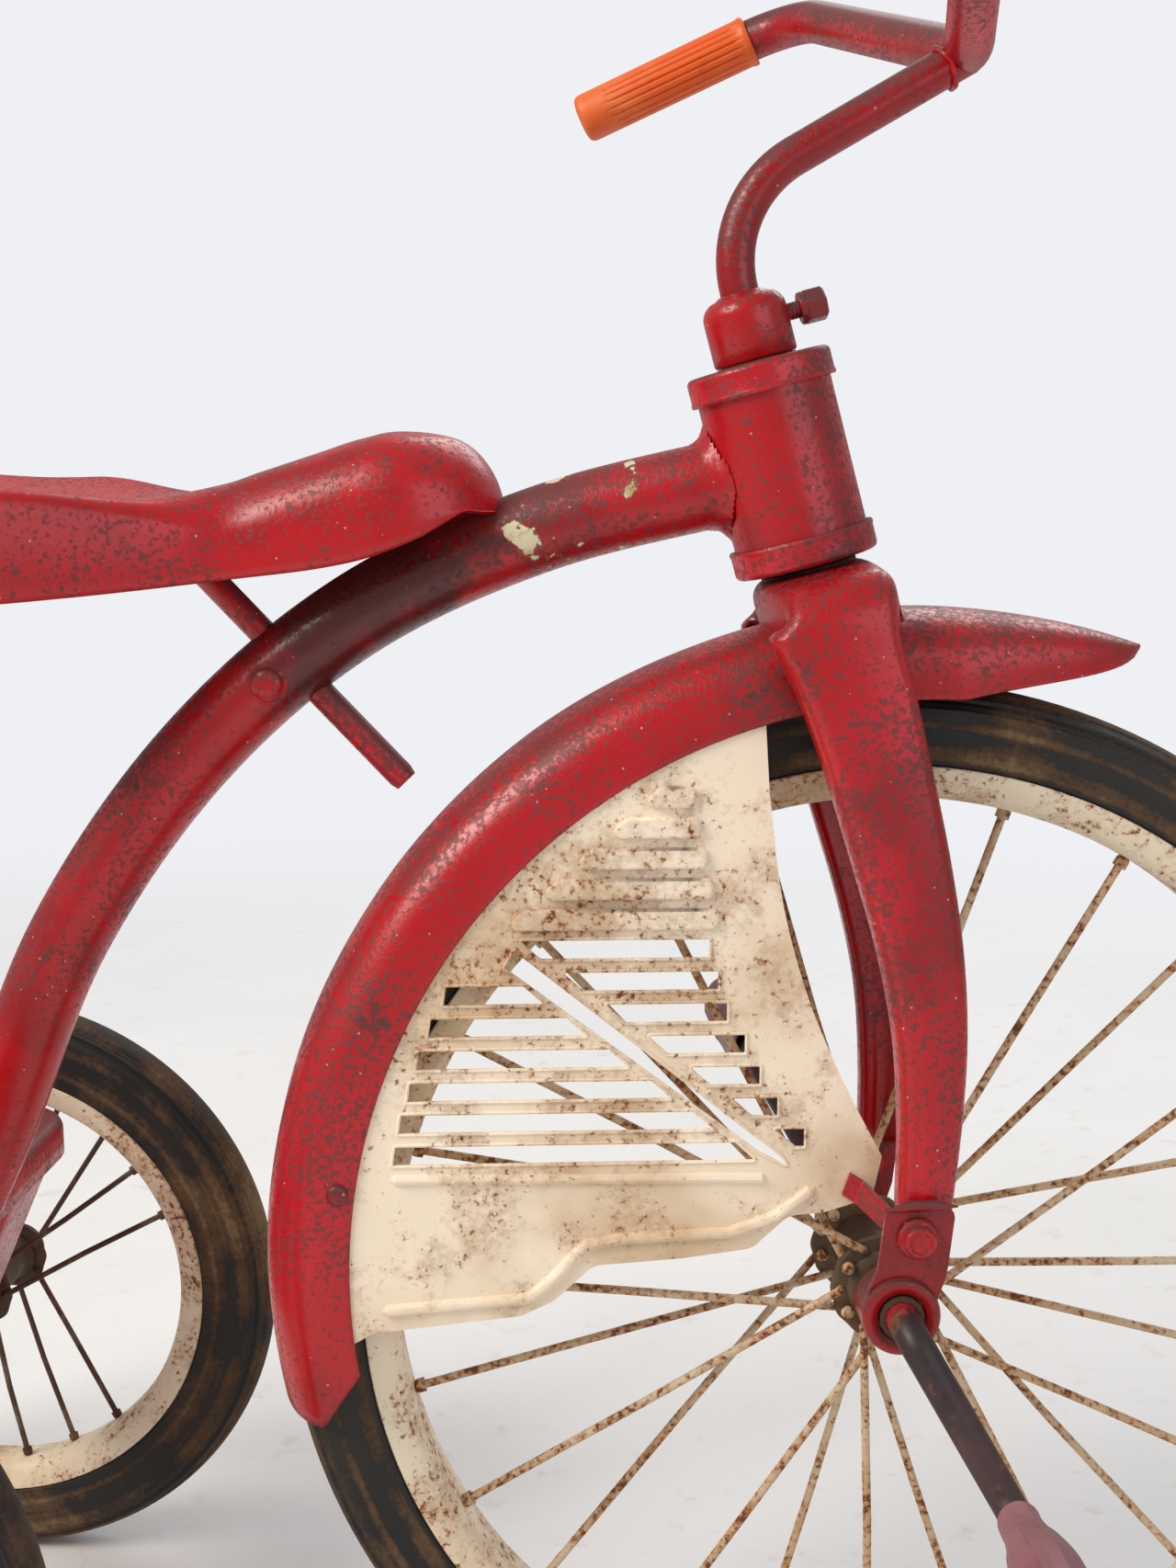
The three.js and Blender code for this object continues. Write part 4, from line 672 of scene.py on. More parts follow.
def head_and_backbone():
    line = through([(-40, 0, 475), (-118, 0, 455), (-181, 0, 425), (-236, 0, 378), (-283, 0, 313),
                    (-318, 0, 232), (REAR_AXLE_X, 0, REAR_R)], 14)
    close = [np.array(p) for p in resample(line, FILLET_STEP)[:FILLET_ROWS]]
    beyond = FILLET_ROWS * FILLET_STEP + 2
    line = close + [p for p in line if np.linalg.norm(p - line[0]) > beyond]
    sides, verts = 48, []
    for i, p in enumerate(line):
        ahead = line[min(i + 1, len(line) - 1)] - line[max(i - 1, 0)]
        ahead = ahead / np.linalg.norm(ahead)
        up = np.cross([0, 1, 0], ahead)
        for j in range(sides):
            a = 2 * math.pi * j / sides
            out = np.array([0, 1, 0]) * math.sin(a) + up * math.cos(a)
            skin = fillet(p, ahead, out, FILLET_REACH) if i < FILLET_ROWS else BACKBONE_R
            verts.append(p + out * skin)
    faces = grid_faces(len(line), sides, wrap=True)
    faces += [tuple(reversed(range(sides))), tuple(range(len(verts) - sides, len(verts)))]
    make("backbone", verts, faces, STRAIGHT, "frame", RED_BONE, ["backbone_tube"])

    tube = [(HEAD_TUBE_R - 2, HEAD_TUBE_FROM), (HEAD_TUBE_R, HEAD_TUBE_FROM)]
    tube += [(HEAD_TUBE_R, h) for h in np.linspace(HEAD_TUBE_FROM + 4, HEAD_TUBE_TO - 4, 14)]
    tube += [(HEAD_TUBE_R, HEAD_TUBE_TO), (HEAD_TUBE_R - 2, HEAD_TUBE_TO)]
    make("head_barrel", *revolve(tube, 72, closed=True), HEAD, "frame", RED_BONE, ["head_tube"])

    for name, end, way in (("upper", HEAD_TUBE_TO, 1), ("lower", HEAD_TUBE_FROM, -1)):
        outer = HEAD_TUBE_R + 1.8
        face = end + way * 1.8
        skirt = [(HEAD_TUBE_R + 0.3, face - way * 9.2), (outer, face - way * 9.5),
            (outer + 0.35, face - way * 8.6)]
        skirt += [(outer, face - way * 7.6), (outer, face - way * 2.2)]
        for a in np.linspace(0.2, 1.57, 6):
            skirt.append((outer - 2 + 2 * math.cos(a), face - way * (2 - 2 * math.sin(a))))
        top = [(14.5, face), (13.0, face + way * 0.7), (11.0, face + way * 0.7),
            (10.5, face - way * 0.8), (HEAD_TUBE_R + 0.3, face - way * 1.5)]
        make(f"{name}_head_cup", *revolve(skirt + top, 72, closed=True), HEAD, "frame", RED_TOP,
            [f"{name}_head_cap"])
    # The crown race takes the near-black steel, painted shade in the gap under the head tube.
    race = [(9.8, CROWN_AT + 0.3), (18, CROWN_AT + 0.3), (18.2, CROWN_AT + 2.2), (16, CROWN_AT + 3.6),
        (16, 249.2), (9.8, 249.2)]
    make("lower_race", *revolve(race, 48, closed=True), STEERED_HEAD, "steering", PAINTED_SHADE_STEEL,
        ["crown_race"])


# ---- stem, handlebar and grips ------------------------------------------------------------
BAR_CENTRE = (23, 0, 608)
BAR_KNEE = (-8, 163, 654)
BAR_END = (-88, 181, 619)
BAR_R = 7.95
BAR_RISE = 30  # slope of the stem's upper run, in degrees
STEM_R = 6.35
STEM_FROM = 300  # how far up the steering axis the stem starts


def steering_head():
    lean = np.array([-math.sin(math.radians(HEAD_ANGLE)), 0, math.cos(math.radians(HEAD_ANGLE))])
    bottom = np.array([HEAD_OFFSET, 0, FRONT_R]) + lean * STEM_FROM
    rise = np.array([math.cos(math.radians(BAR_RISE)), 0, math.sin(math.radians(BAR_RISE))])
    across = np.array(BAR_CENTRE) - bottom
    s = (across[0] * rise[2] - across[2] * rise[0]) / (lean[0] * rise[2] - lean[2] * rise[0])
    stem = resample(rounded([bottom, bottom + lean * s, BAR_CENTRE], 38, 20), 4)
    make("stem_tube", *sweep(stem, STEM_R, 32), STEERED, "handlebar", RED_BAR, ["handlebar_stem"])

    left, right = BAR_END, (BAR_END[0], -BAR_END[1], BAR_END[2])
    knees = BAR_KNEE, (BAR_KNEE[0], -BAR_KNEE[1], BAR_KNEE[2])
    bar = resample(rounded([right, knees[1], BAR_CENTRE, knees[0], left], 32, 16), 3)
    make("crossbar", *sweep(bar, BAR_R, 32), STEERED, "handlebar", RED_BAR, ["handlebar"])
    ring = []
    for k in range(41):
        a = 2 * math.pi * k / 40
        back = np.array(BAR_CENTRE) - rise * 7.6
        side = np.array([0, 1, 0]) * math.cos(a) + np.cross(rise, [0, 1, 0]) * math.sin(a)
        ring.append(back + side * 6.9 + rise * 1.6 * abs(math.sin(a)) * -1)
    bead = sweep(ring, lambda d: 1.0 + 0.2 * math.sin(d * 1.1), 10)
    make("bar_weld", *bead, STEERED, "handlebar", RED_TOP)

    cup = [(9.9, COLLAR_FROM), (COLLAR_R - 0.6, COLLAR_FROM), (COLLAR_R, COLLAR_FROM + 0.8),
        (COLLAR_R, COLLAR_TO - 8)]
    for a in np.linspace(0.1, 1.45, 9):
        cup.append((COLLAR_R - 6 + 6 * math.cos(a), COLLAR_TO - 7 + 6 * math.sin(a)))
    cup += [(7.6, COLLAR_TO - 0.4), (6.7, COLLAR_TO), (6.6, COLLAR_TO - 4), (9.9, COLLAR_TO - 6)]
    make("stem_cup", *revolve(cup, 56, closed=True), STEERED_HEAD, "steering", RED, ["stem_collar"])
    bolt_at = STEERED_HEAD @ Matrix.Translation((0, 0, COLLAR_FROM + 12.1))
    bolt_at = bolt_at @ Matrix.Rotation(math.radians(90), 4, "Y")
    parts = [threaded(3, 10, 21.5), hexagonal(5.7, 19.5, 26.5, 0.3),
        revolve([(0, 17.6), (5.2, 17.6), (5.4, 19.6), (0, 19.6)], 24)]
    make("stem_set_bolt", *joined(*parts), bolt_at, "steering", GRIMY, ["collar_set_bolt"], bevel=0.35)

    for name, way in (("left", 1), ("right", -1)):
        end = Vector((BAR_END[0], way * BAR_END[1], BAR_END[2]))
        knee = Vector((BAR_KNEE[0], way * BAR_KNEE[1], BAR_KNEE[2]))
        axis = (end - knee).normalized()
        place = STEERED @ Matrix.Translation(end) @ axis.to_track_quat("Z", "Y").to_matrix().to_4x4()

        def flutes(r, h, a):
            on = smoothstep(h, -66, -63) * (1 - smoothstep(h, -11, -7))
            return r - on * 0.75 * max(0.0, math.cos(20 * a)) ** 3 if r > 9 else r

        body = [(8.1, -69), (9.5, -69), (9.9, -68.5), (9.9, -67)]
        body += [(9.5, h) for h in np.linspace(-66, 0, 34)]
        body += [(9.5, 2.0), (9.2, 3.4), (8.3, 4.5), (6.6, 5.0), (4.5, 5.0), (4.2, 4.5), (0, 4.5)]
        make(f"{name}_hand_grip", *revolve(body, 208, flutes), place, "handlebar", ORANGE,
            [f"{name}_grip"], crease=60)


# ---- saddle -------------------------------------------------------------------------------
SEAT_NOSE_X = -128
SEAT_LENGTH = 268
SEAT_TOP_Z = 489
SEAT_NOSE_HALF = 33
SEAT_TAIL_HALF = 96
# How far the crest and the lower edge lie under SEAT_TOP_Z, by share of the way to the tail.
CREST_DROPS = [(0, 4), (0.06, 2), (0.125, 1), (0.17, 3), (0.23, 8), (0.30, 14), (0.36, 19), (0.5, 25),
    (0.7, 28), (0.85, 26), (1, 19)]
EDGE_DROPS = [(0, 20), (0.045, 28), (0.1, 36), (0.18, 43), (0.28, 47), (0.57, 54), (1, 58)]


def half_width(t):
    body = SEAT_NOSE_HALF + (SEAT_TAIL_HALF - SEAT_NOSE_HALF) * smoothstep(t, 0.3, 0.8)
    nose = math.sqrt(max(0, 1 - ((0.13 - min(t, 0.13)) / 0.13) ** 2))
    tail = math.sqrt(max(0, 1 - ((max(t, 0.78) - 0.78) / 0.22) ** 2))
    return body * min(nose, tail)


def saddle():
    """A pressed pan: domed nose, dished back, rolled shoulders and a deep skirt."""
    crest = np.array(through(CREST_DROPS, 10))
    edge = np.array(through(EDGE_DROPS, 10))
    outline = []
    for k in range(241):
        t = 0.5 - 0.5 * math.cos(math.pi * k / 240)
        outline.append((SEAT_NOSE_X - t * SEAT_LENGTH, half_width(t)))
    outline += [(x, -y) for x, y in outline[-2:0:-1]]
    spine = SEAT_NOSE_X - 30, SEAT_NOSE_X - SEAT_LENGTH + 92
    shares = list(np.linspace(0, 0.6, 8)) + list(np.linspace(0.65, 1.0, 22))
    drops = list(np.linspace(0.04, 1.0, 12))
    verts = []

    def pressing(x, y, s, gap):
        t = (SEAT_NOSE_X - x) / SEAT_LENGTH
        back = smoothstep(t, 0.30, 0.60)
        top = SEAT_TOP_Z - np.interp(t, crest[:, 0], crest[:, 1]) + (11 * back - 6 * (1 - back)) * s ** 2
        hollow = 2.6 * math.exp(-((t - 0.33) / 0.06) ** 2) * smoothstep(s, 0.55, 0.9)
        roll = 17 - 8 * smoothstep(t, 0.2, 0.45)
        bite = max(0.0, roll - gap)
        return top - hollow - (roll - math.sqrt(max(0.0, roll ** 2 - bite ** 2)))

    for s in shares:
        for x, y in outline:
            sx = min(spine[0], max(spine[1], x))
            px, py = sx + (x - sx) * s, y * s
            verts.append((px, py, pressing(px, py, s, (1 - s) * math.hypot(x - sx, y))))
    for d in drops:
        for x, y in outline:
            t = (SEAT_NOSE_X - x) / SEAT_LENGTH
            shoulder = pressing(x, y, 1.0, 0.0)
            low = min(shoulder - 0.5, SEAT_TOP_Z - np.interp(t, edge[:, 0], edge[:, 1]))
            bulge = 1 + 0.012 * math.sin(math.pi * d) - 0.02 * smoothstep(d, 0.85, 1.0)
            sx = min(spine[0], max(spine[1], x))
            verts.append((sx + (x - sx) * bulge, y * bulge, shoulder + (low - shoulder) * d))
    faces = grid_faces(len(shares) + len(drops), len(outline), wrap=True)
    make("saddle_pan", verts, faces, STRAIGHT, "seat", RED_SEAT, ["seat_pan"], wall=1.2)


def seat_fittings():
    d = np.array([math.cos(math.radians(POST_ANGLE)), 0, -math.sin(math.radians(POST_ANGLE))])
    clamp = np.array([CLAMP_AT[0], 0, CLAMP_AT[1]])
    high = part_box("seat_post")[1]
    top = high.z * 1000 - POST_R
    corner = clamp - d * (top - clamp[2]) / -d[2]
    post = resample(rounded([clamp + d * 56, corner, corner - np.array([52, 0, 0])], 14, 10), 3)
    make("post_rod", *sweep(post, softened(POST_R, length_of(post), 0.7), 24), STRAIGHT, "seat", RED_TOP,
        ["seat_post"])
    away = clamp + np.array([-math.sin(math.radians(POST_ANGLE)), 0,
        -math.cos(math.radians(POST_ANGLE))]) * 8.05
    bolt = joined(dome(5.6, BACKBONE_R - 0.8, BACKBONE_R + 2.6),
        revolve([(0, 0), (7.2, BACKBONE_R - 1.5), (7.2, BACKBONE_R - 0.6), (0, BACKBONE_R - 0.6)], 28))
    place = STRAIGHT @ Matrix.Translation(away)
    make("clamp_bolt", *bolt, place @ Matrix.Rotation(math.radians(90), 4, "X"), "frame", RED_TOP,
        ["seat_clamp_bolt"])
    nut = joined(hexagonal(6, BACKBONE_R - 0.6, BACKBONE_R + 4.4), threaded(3, 2, BACKBONE_R + 6))
    make("clamp_nut", *nut, place @ TURN_TO_Y, "frame", RUSTY, ["seat_clamp_nut"], bevel=0.3)


# ---- fork ---------------------------------------------------------------------------------
SHOULDER_R = 13
CHANNEL_R = 6.5
# The blade's two edges, as (height, rear edge, front edge), from the crown to the toe.
BLADE = [(441, -42, -4), (425, -45, -3), (404, -35, 3), (383, -27, 8), (352, -17, 15),
         (322, -8, 20), (293, -2, 22), (265, 0, 21), (233, 0, 18)]


def fork():
    """One pressed channel, bent into an arch over the wheel."""
    rear = through([(a, z) for z, a, b in BLADE], 8)
    front = through([(b, z) for z, a, b in BLADE], 8)
    crown_rear = np.array([-40.5, 433.8])
    crown_front = np.array([-4.5, 443.4])
    r = SHOULDER_R
    stations = []
    for k in range(9):
        stations.append((FORK_HALF - r - (FORK_HALF - r) * k / 8, 0.0, math.pi / 2))
    stations = stations[::-1]
    for k in range(1, 9):
        a = math.pi / 2 * (1 - k / 8)
        stations.append((FORK_HALF - r + r * math.cos(a), r * (1 - math.sin(a)), a))
    rows = []
    up = np.array([-math.sin(math.radians(HEAD_ANGLE)), 0, math.cos(math.radians(HEAD_ANGLE))])
    for y, drop, a in stations:
        share = min(1.0, drop / r)
        bulge = 1 - (y / FORK_HALF) ** 2
        arch = np.array([up[0], up[2]]) * 5.0 * bulge
        ra = crown_rear + (rear[8] - crown_rear) * share + arch + np.array([3.5 - 7 * bulge, 0])
        fa = crown_front + (front[8] - crown_front) * share + arch
        out = np.array([0, 1, 0]) * math.cos(a) + up * math.sin(a)
        rows.append(section(ra, fa, y, out))
    for ra, fa in zip(rear[9:], front[9:]):
        rows.append(section(ra, fa, FORK_HALF, np.array([0.0, 1.0, 0.0])))
    other = [[(x, -y, z) for x, y, z in row] for row in rows[:0:-1]]
    rows = other + rows
    columns = len(rows[0])
    verts = [p for row in rows for p in row]
    make("fork_pressing", verts, grid_faces(len(rows), columns), STEERED, "steering", RED_FORK,
        ["fork"], wall=1.8, subdivide=1)


def section(rear, front, y, out):
    """One cross-section of the fork's channel, flange edge to flange edge."""
    a, b = np.array([rear[0], 0, rear[1]]), np.array([front[0], 0, front[1]])
    width = np.linalg.norm(b - a)
    e = (b - a) / width
    r = CHANNEL_R
    flange = FORK_FLANGE if abs(out[1]) > 0.98 else FORK_FLANGE + 6 * (1 - abs(out[1]))
    local = [(0, flange), (0, (flange + r) / 2), (0, r)]
    local += [(r - r * math.cos(t), r - r * math.sin(t)) for t in np.linspace(0.3, math.pi / 2, 5)]
    local += [(width * s, -0.9 * math.sin(math.pi * s)) for s in (0.35, 0.5, 0.65)]
    local += [(width - r + r * math.sin(t), r - r * math.cos(t)) for t in np.linspace(0, 1.27, 5)]
    local += [(width, r), (width, (flange + r) / 2), (width, flange)]
    return [tuple(a + e * u + np.array([0, y, 0]) - out * v) for u, v in local]


# ---- crank brackets -----------------------------------------------------------------------
def crank_brackets():
    for name, way in (("left", 1), ("right", -1)):
        strap = [(-5.5, 34), (-7.5, 16)]
        strap += [(12.7 * math.cos(t), 12.7 * math.sin(t)) for t in np.radians(np.linspace(160, 380, 22))]
        strap += [(15, 14), (17.5, 36), (-5.5, 35)]
        strap = [tuple(p) for p in rounded(strap[::-1] + [strap[-1]], 3, 3)][:-1]
        sheet = plate(strap[::-1], 2.6)
        ring = [(7.8, FORK_HALF - 12), (12.4, FORK_HALF - 12), (12.7, FORK_HALF + 2),
            (12.9, FORK_HALF + 4.5)]
        ring += [(12.3, FORK_HALF + 5.8), (11.2, FORK_HALF + 6.3), (9.2, FORK_HALF + 6.1),
            (7.9, FORK_HALF + 5.2)]
        lip = [(x, FORK_HALF + 3.2, z) for x, z in ((-6, 35), (2, 36.6), (10, 37), (18, 36.4))]
        parts = [moved(sheet, Matrix.Translation((0, FORK_HALF + 0.4, 0)))]
        parts.append(sweep(lip, softened(1.9, length_of(lip), 1.6), 12))
        parts.append(moved(revolve(ring, 48, closed=True), TURN_TO_Y))
        bracket = joined(*parts)
        if way < 0:
            bracket = mirrored(bracket)
        make(f"{name}_crank_strap", *bracket, FRONT_HUB, "steering", RED_EYE, [f"{name}_crank_bracket"],
            bevel=0.5)

        head = [(0, FORK_HALF - 14), (4, FORK_HALF - 14), (4, FORK_HALF + 3.4), (6.6, FORK_HALF + 3.4),
            (6.8, FORK_HALF + 4.6), (6.2, FORK_HALF + 5.6)]
        head += [(5.2, FORK_HALF + 5.8), (5.2, FORK_HALF + 8.4), (4.7, FORK_HALF + 9),
            (3.6, FORK_HALF + 9.1), (3.3, FORK_HALF + 8.5), (0, FORK_HALF + 8.5)]
        screw = moved(revolve(head, 36), Matrix.Translation((5, 0, 26)) @ TURN_TO_Y)
        if way < 0:
            screw = mirrored(screw)
        make(f"{name}_strap_screw", *screw, FRONT_HUB, "steering", RED_TOP, [f"{name}_bracket_bolt"])


# ---- mudguard and its skirts --------------------------------------------------------------
NOSE_ANGLE = 70
NOSE_TAPER = 17  # degrees over which the nose widens to the full section


def guard_end(share):
    """Angle of the tail's edge at a share of the way from the crown to the lip: a fishtail."""
    return float(np.interp(share, (0, 0.66, 1.0), (191.8, 194.6, 190.2)))


def mudguard():
    """A rolled C-section, pointed at the nose and cut to a fishtail."""
    quarter = np.linspace(0, math.pi / 2, 15)
    curve = [(math.sin(a) ** 0.9, 0.74 * (1 - math.cos(a) ** 0.8)) for a in quarter]
    curve += [(1.0, 0.80), (1.0, 0.87), (1.0, 0.94), (0.995, 0.98), (0.975, 1.0)]
    section_points = [(-y, f) for y, f in curve[:0:-1]] + curve
    lengths = [0.0]
    for (ya, fa), (yb, fb) in zip(curve, curve[1:]):
        lengths.append(lengths[-1] + math.hypot((yb - ya) * FENDER_HALF, (fb - fa) * FENDER_DEPTH))
    shares = [v / lengths[-1] for v in lengths]
    shares = shares[:0:-1] + shares
    rows, verts = 130, []
    for i in range(rows):
        t = (i / (rows - 1)) ** 1.15
        for (across, fall), share in zip(section_points, shares):
            angle = NOSE_ANGLE + (guard_end(share) - NOSE_ANGLE) * t
            nose = math.sqrt(max(0.0, min(1.0, (angle - NOSE_ANGLE + 0.05) / NOSE_TAPER)))
            dent = 0.8 * noise.noise(Vector((angle * 0.055, across * 0.8, 3.0)))
            r = FENDER_R - FENDER_DEPTH * nose * fall + dent * (1 - fall)
            c = math.radians(angle)
            verts.append((FENDER_CENTRE[0] + r * math.cos(c), FENDER_HALF * nose * across,
                FENDER_CENTRE[1] + r * math.sin(c)))
    faces = grid_faces(rows, len(section_points))
    make("mudguard_shell", verts, faces, STEERED, "steering", RED, ["front_fender"], wall=1.2, crease=50)
    rivet = moved(dome(3.6, FENDER_HALF - 0.4, FENDER_HALF + 1.9),
        Matrix.Translation((-183, 0, 240)) @ TURN_TO_Y)
    make("skirt_rivet_head", *mirrored(rivet), STEERED, "steering", GRIMY, ["skirt_rivet"])


def slots():
    """The skirt's open slots: one long diagonal and the rows on either side of it."""
    pitch, height, slope = 10.7, 6.2, math.tan(math.radians(37.5))
    run = height / slope
    made = []
    for k, right in enumerate((-61, -58, -55, -49, -44, -38, -29)):
        z = 321 - pitch * k
        left = -116 + pitch * k / slope
        made.append([(left, z - 3.1), (right, z - 3.1), (right, z + 3.1), (left - run, z + 3.1)])
    for k, left in enumerate((-148, -153, -157, -160, -163, -165)):
        z = 306 - pitch * k
        right = -122 + pitch * k / slope
        made.append([(left, z - 3.1), (right + run, z - 3.1), (right, z + 3.1), (left + 1, z + 3.1)])
    made.append([(-128, 314.5), (-45, 252.5), (-33.5, 246.5), (-37, 251.5), (-49, 261), (-124.5, 321)])
    return made


def on_guard(radius, angle):
    return (FENDER_CENTRE[0] + radius * math.cos(math.radians(angle)),
        FENDER_CENTRE[1] + radius * math.sin(math.radians(angle)))


def skirt():
    """The slotted panel on the right, with its ridges, rolled slot edges and embossed bars."""
    rim = [on_guard(FENDER_R - FENDER_DEPTH + 9, a) for a in np.linspace(188, 106, 30)]
    front = [tuple(p) for p in through([(-42, 372), (-37, 335), (-28, 303), (-16, 275), (-3, 250)], 6)]
    bottom = [(-6, 236), (-22, 231), (-34, 230), (-46, 219), (-69, 216), (-99, 214), (-112, 202),
        (-123, 197), (-172, 192)]
    outline = rim + front + [tuple(p) for p in rounded(bottom, 8, 4)]
    holes = slots()
    face = SKIRT_Y + 1.0
    parts = [moved(plate(outline, 1.0, [h[::-1] for h in holes]), Matrix.Translation((0, SKIRT_Y, 0)))]
    upper = [(x, face - 0.3, z) for x, z in ((-166, 244.5), (-60, 243.5), (-41, 243))]
    low = [(-169, 199.5), (-120, 203), (-112, 210), (-102, 221), (-90, 223), (-54, 224.5), (-38, 230),
        (-25, 240)]
    lower = [(p[0], face - 0.3, p[1]) for p in rounded(low, 6, 4)]
    for line, size in ((upper, 2.0), (lower, 2.3)):
        fine = resample(line, 2)
        parts.append(sweep(fine, softened(size, length_of(fine), size * 0.9), 12))
    for k in range(5):
        z = 371 - 10 * k
        left, right = -83 - 11 * k, -67 + 2 * k
        loop = [(right - 6, z + 2.6), (right, z + 2.6), (right, z - 2.6), (left, z - 2.6),
            (left + 6, z + 2.6), (right - 6, z + 2.6)]
        bar = plate(rounded(loop, 1.4, 3)[:-1][::-1], 2.4)
        parts.append(moved(bar, Matrix.Translation((0, face - 0.4, 0))))
        parts.append(sweep([(p[0], face + 1.0, p[1]) for p in rounded(loop, 1.4, 3)], 1.0, 8))
    for hole in holes:
        centre = np.mean(np.array(hole), axis=0)
        loop = [tuple(p) for p in rounded(list(hole) + [hole[0]], 0.8, 2)]
        grown = [(x + 0.4 * np.sign(x - centre[0]), face, z + 0.5 * np.sign(z - centre[1]))
            for x, z in loop]
        parts.append(sweep(grown, 0.65, 6))
    make("side_skirt_panel", *mirrored(joined(*parts)), STEERED, "steering", CREAM, ["right_skirt"],
        crease=30)
    verts = []
    for x, y, z in ((-15, -SKIRT_Y - 1.6, 241), (-11, -SKIRT_Y - 2, 238.5), (-4, -38, 233.5),
        (0, -FORK_HALF - 3.4, 231), (7, -FORK_HALF - 3.6, 228)):
        for dy, dz in ((-0.7, 3.8), (0.7, 3.8), (0.7, -3.8), (-0.7, -3.8)):
            verts.append((x + dz * 0.35, y + dy, z + dz))
    faces = grid_faces(5, 4, wrap=True) + [(3, 2, 1, 0), (16, 17, 18, 19)]
    make("side_skirt_stay", verts, faces, STEERED, "steering", RED_TOP, bevel=0.5)


# ---- wheels -------------------------------------------------------------------------------
def tyre_profile(radius, bead, half):
    """The tyre's section, bead to bead, with a moulded line below each shoulder."""
    mid = (radius + bead) / 2 + 1
    rise = radius - mid
    section_points = [(bead - 0.5, -half + 4), (bead - 0.2, -half + 2.2), (bead + 1.2, -half + 0.9)]
    for k in range(61):
        a = math.radians(-82 + 164 * k / 60)
        r = mid + rise * math.cos(a) ** 0.9
        y = half * math.sin(a)
        for at, deep in ((34, 0.7), (50, -0.6), (56, 0.6), (72, -0.7)):
            line = deep * math.exp(-((abs(math.degrees(a)) - at) / 2.4) ** 2)
            r -= line * math.cos(a)
            y -= line * math.sin(a)
        section_points.append((r, y))
    section_points += [(bead + 1.2, half - 0.9), (bead - 0.2, half - 2.2), (bead - 0.5, half - 4)]
    return section_points


def rim_profile(bead, half):
    f = half - 2.3
    outer = [(bead - 0.2, -f - 1.6), (bead + 0.2, -f - 1.0), (bead - 0.2, -f), (bead - 6.8, -f + 2),
        (bead - 9.2, -f + 5)]
    outer += [(bead - 9.2, f - 5), (bead - 6.8, f - 2), (bead - 0.2, f), (bead + 0.2, f + 1.0),
        (bead - 0.2, f + 1.6)]
    inner = [(bead - 1.6, f + 1.4), (bead - 7.6, f - 0.4), (bead - 10.2, f - 3), (bead - 11.0, f - 5.5),
        (bead - 11.2, 0)]
    inner += [(r, -y) for r, y in inner[-2::-1]]
    return outer + inner


def spoke_set(flange_r, flange_y, count, rim_r, rim_y, radius, lean, turn_by):
    """One side's spokes: a hooked head in the flange, a long straight run, a peened end in the rim."""
    parts = []
    for i in range(count):
        way = 1 if i % 2 == 0 else -1
        at = math.radians(turn_by + 360 * i / count)
        far = at + math.radians(way * lean)
        side = math.copysign(1.0, flange_y)
        root = Vector(((flange_r - 3.2) * math.cos(at), flange_y + side * way * 2.0,
            (flange_r - 3.2) * math.sin(at)))
        head = root + Vector((0, -side * way * 4.2, 0))
        tip = Vector((rim_r * math.cos(far), rim_y, rim_r * math.sin(far)))
        middle = (root + tip) / 2 + Vector([chance.uniform(-0.9, 0.9) for _ in range(3)])
        line = rounded([head, root, middle, tip], 1.6, 3)
        parts.append(sweep(resample(line, 8), radius, 12))
        end = (tip - root).normalized()
        cap = moved(dome(radius * 1.7, -radius * 2.4, radius * 0.6, radius * 1.5),
            Matrix.Translation(tip) @ end.to_track_quat("Z", "Y").to_matrix().to_4x4())
        knob = moved(dome(radius * 1.5, 0, radius * 1.2),
            Matrix.Translation(head) @ Matrix.Rotation(math.radians(90 * side * way), 4, "X"))
        parts += [cap, knob]
    return joined(*parts)


def flange(radius, y, bore, lobes, thick):
    """A pressed disc with a scalloped edge and a raised middle."""
    def scallop(r, h, a):
        return r + (0.3 * math.cos(lobes * a) if r > radius - 2 else 0)
    side = math.copysign(1.0, y)
    profile = [(bore, y - side * thick), (radius - 1, y - side * thick),
        (radius, y - side * thick * 0.5), (radius - 0.6, y + side * thick * 0.3)]
    profile += [(radius - 4, y + side * thick * 0.5), (radius * 0.72, y + side * thick * 0.5),
        (radius * 0.66, y + side * (thick * 0.5 + 1.0)), (bore, y + side * (thick * 0.5 + 1.2))]
    return moved(revolve(profile, 96, scallop, closed=True), TURN_TO_Y)


def front_wheel():
    make("front_rubber", *moved(revolve(tyre_profile(FRONT_R, FRONT_BEAD_R, FRONT_TYRE_HALF), 192),
        TURN_TO_Y), FRONT_HUB, "front_wheel", FRONT_TYRE, ["front_tyre"])
    make("front_rim_steel", *moved(revolve(rim_profile(FRONT_BEAD_R, FRONT_TYRE_HALF), 192,
        closed=True), TURN_TO_Y), FRONT_HUB, "front_wheel", CREAM_RIM, ["front_rim"])
    barrel = [(5.7, -28), (8.6, -28), (9, -27.4), (9, -20), (11, -19), (9.6, -14), (9.2, 0), (9.6, 14),
        (11, 19), (9, 20), (9, 27.4), (8.6, 28), (5.7, 28)]
    make("front_hub_barrel", *moved(revolve(barrel, 48, closed=True), TURN_TO_Y), FRONT_HUB,
        "front_wheel", RUSTY, ["front_hub"])
    for name, way in (("left", 1), ("right", -1)):
        disc = flange(FRONT_FLANGE_R, way * FRONT_FLANGE_Y, 9.1, 12, 2.0)
        make(f"{name}_front_flange", *disc, FRONT_HUB, "front_wheel", KHAKI)
        spokes = spoke_set(FRONT_FLANGE_R, way * FRONT_FLANGE_Y, 12, 164.6, way * 3, 1.45, 30,
            15 if way > 0 else 0)
        make(f"{name}_front_wires", *spokes, FRONT_HUB, "front_wheel", CREAM_SPOKE,
            [f"{name}_front_spokes"])


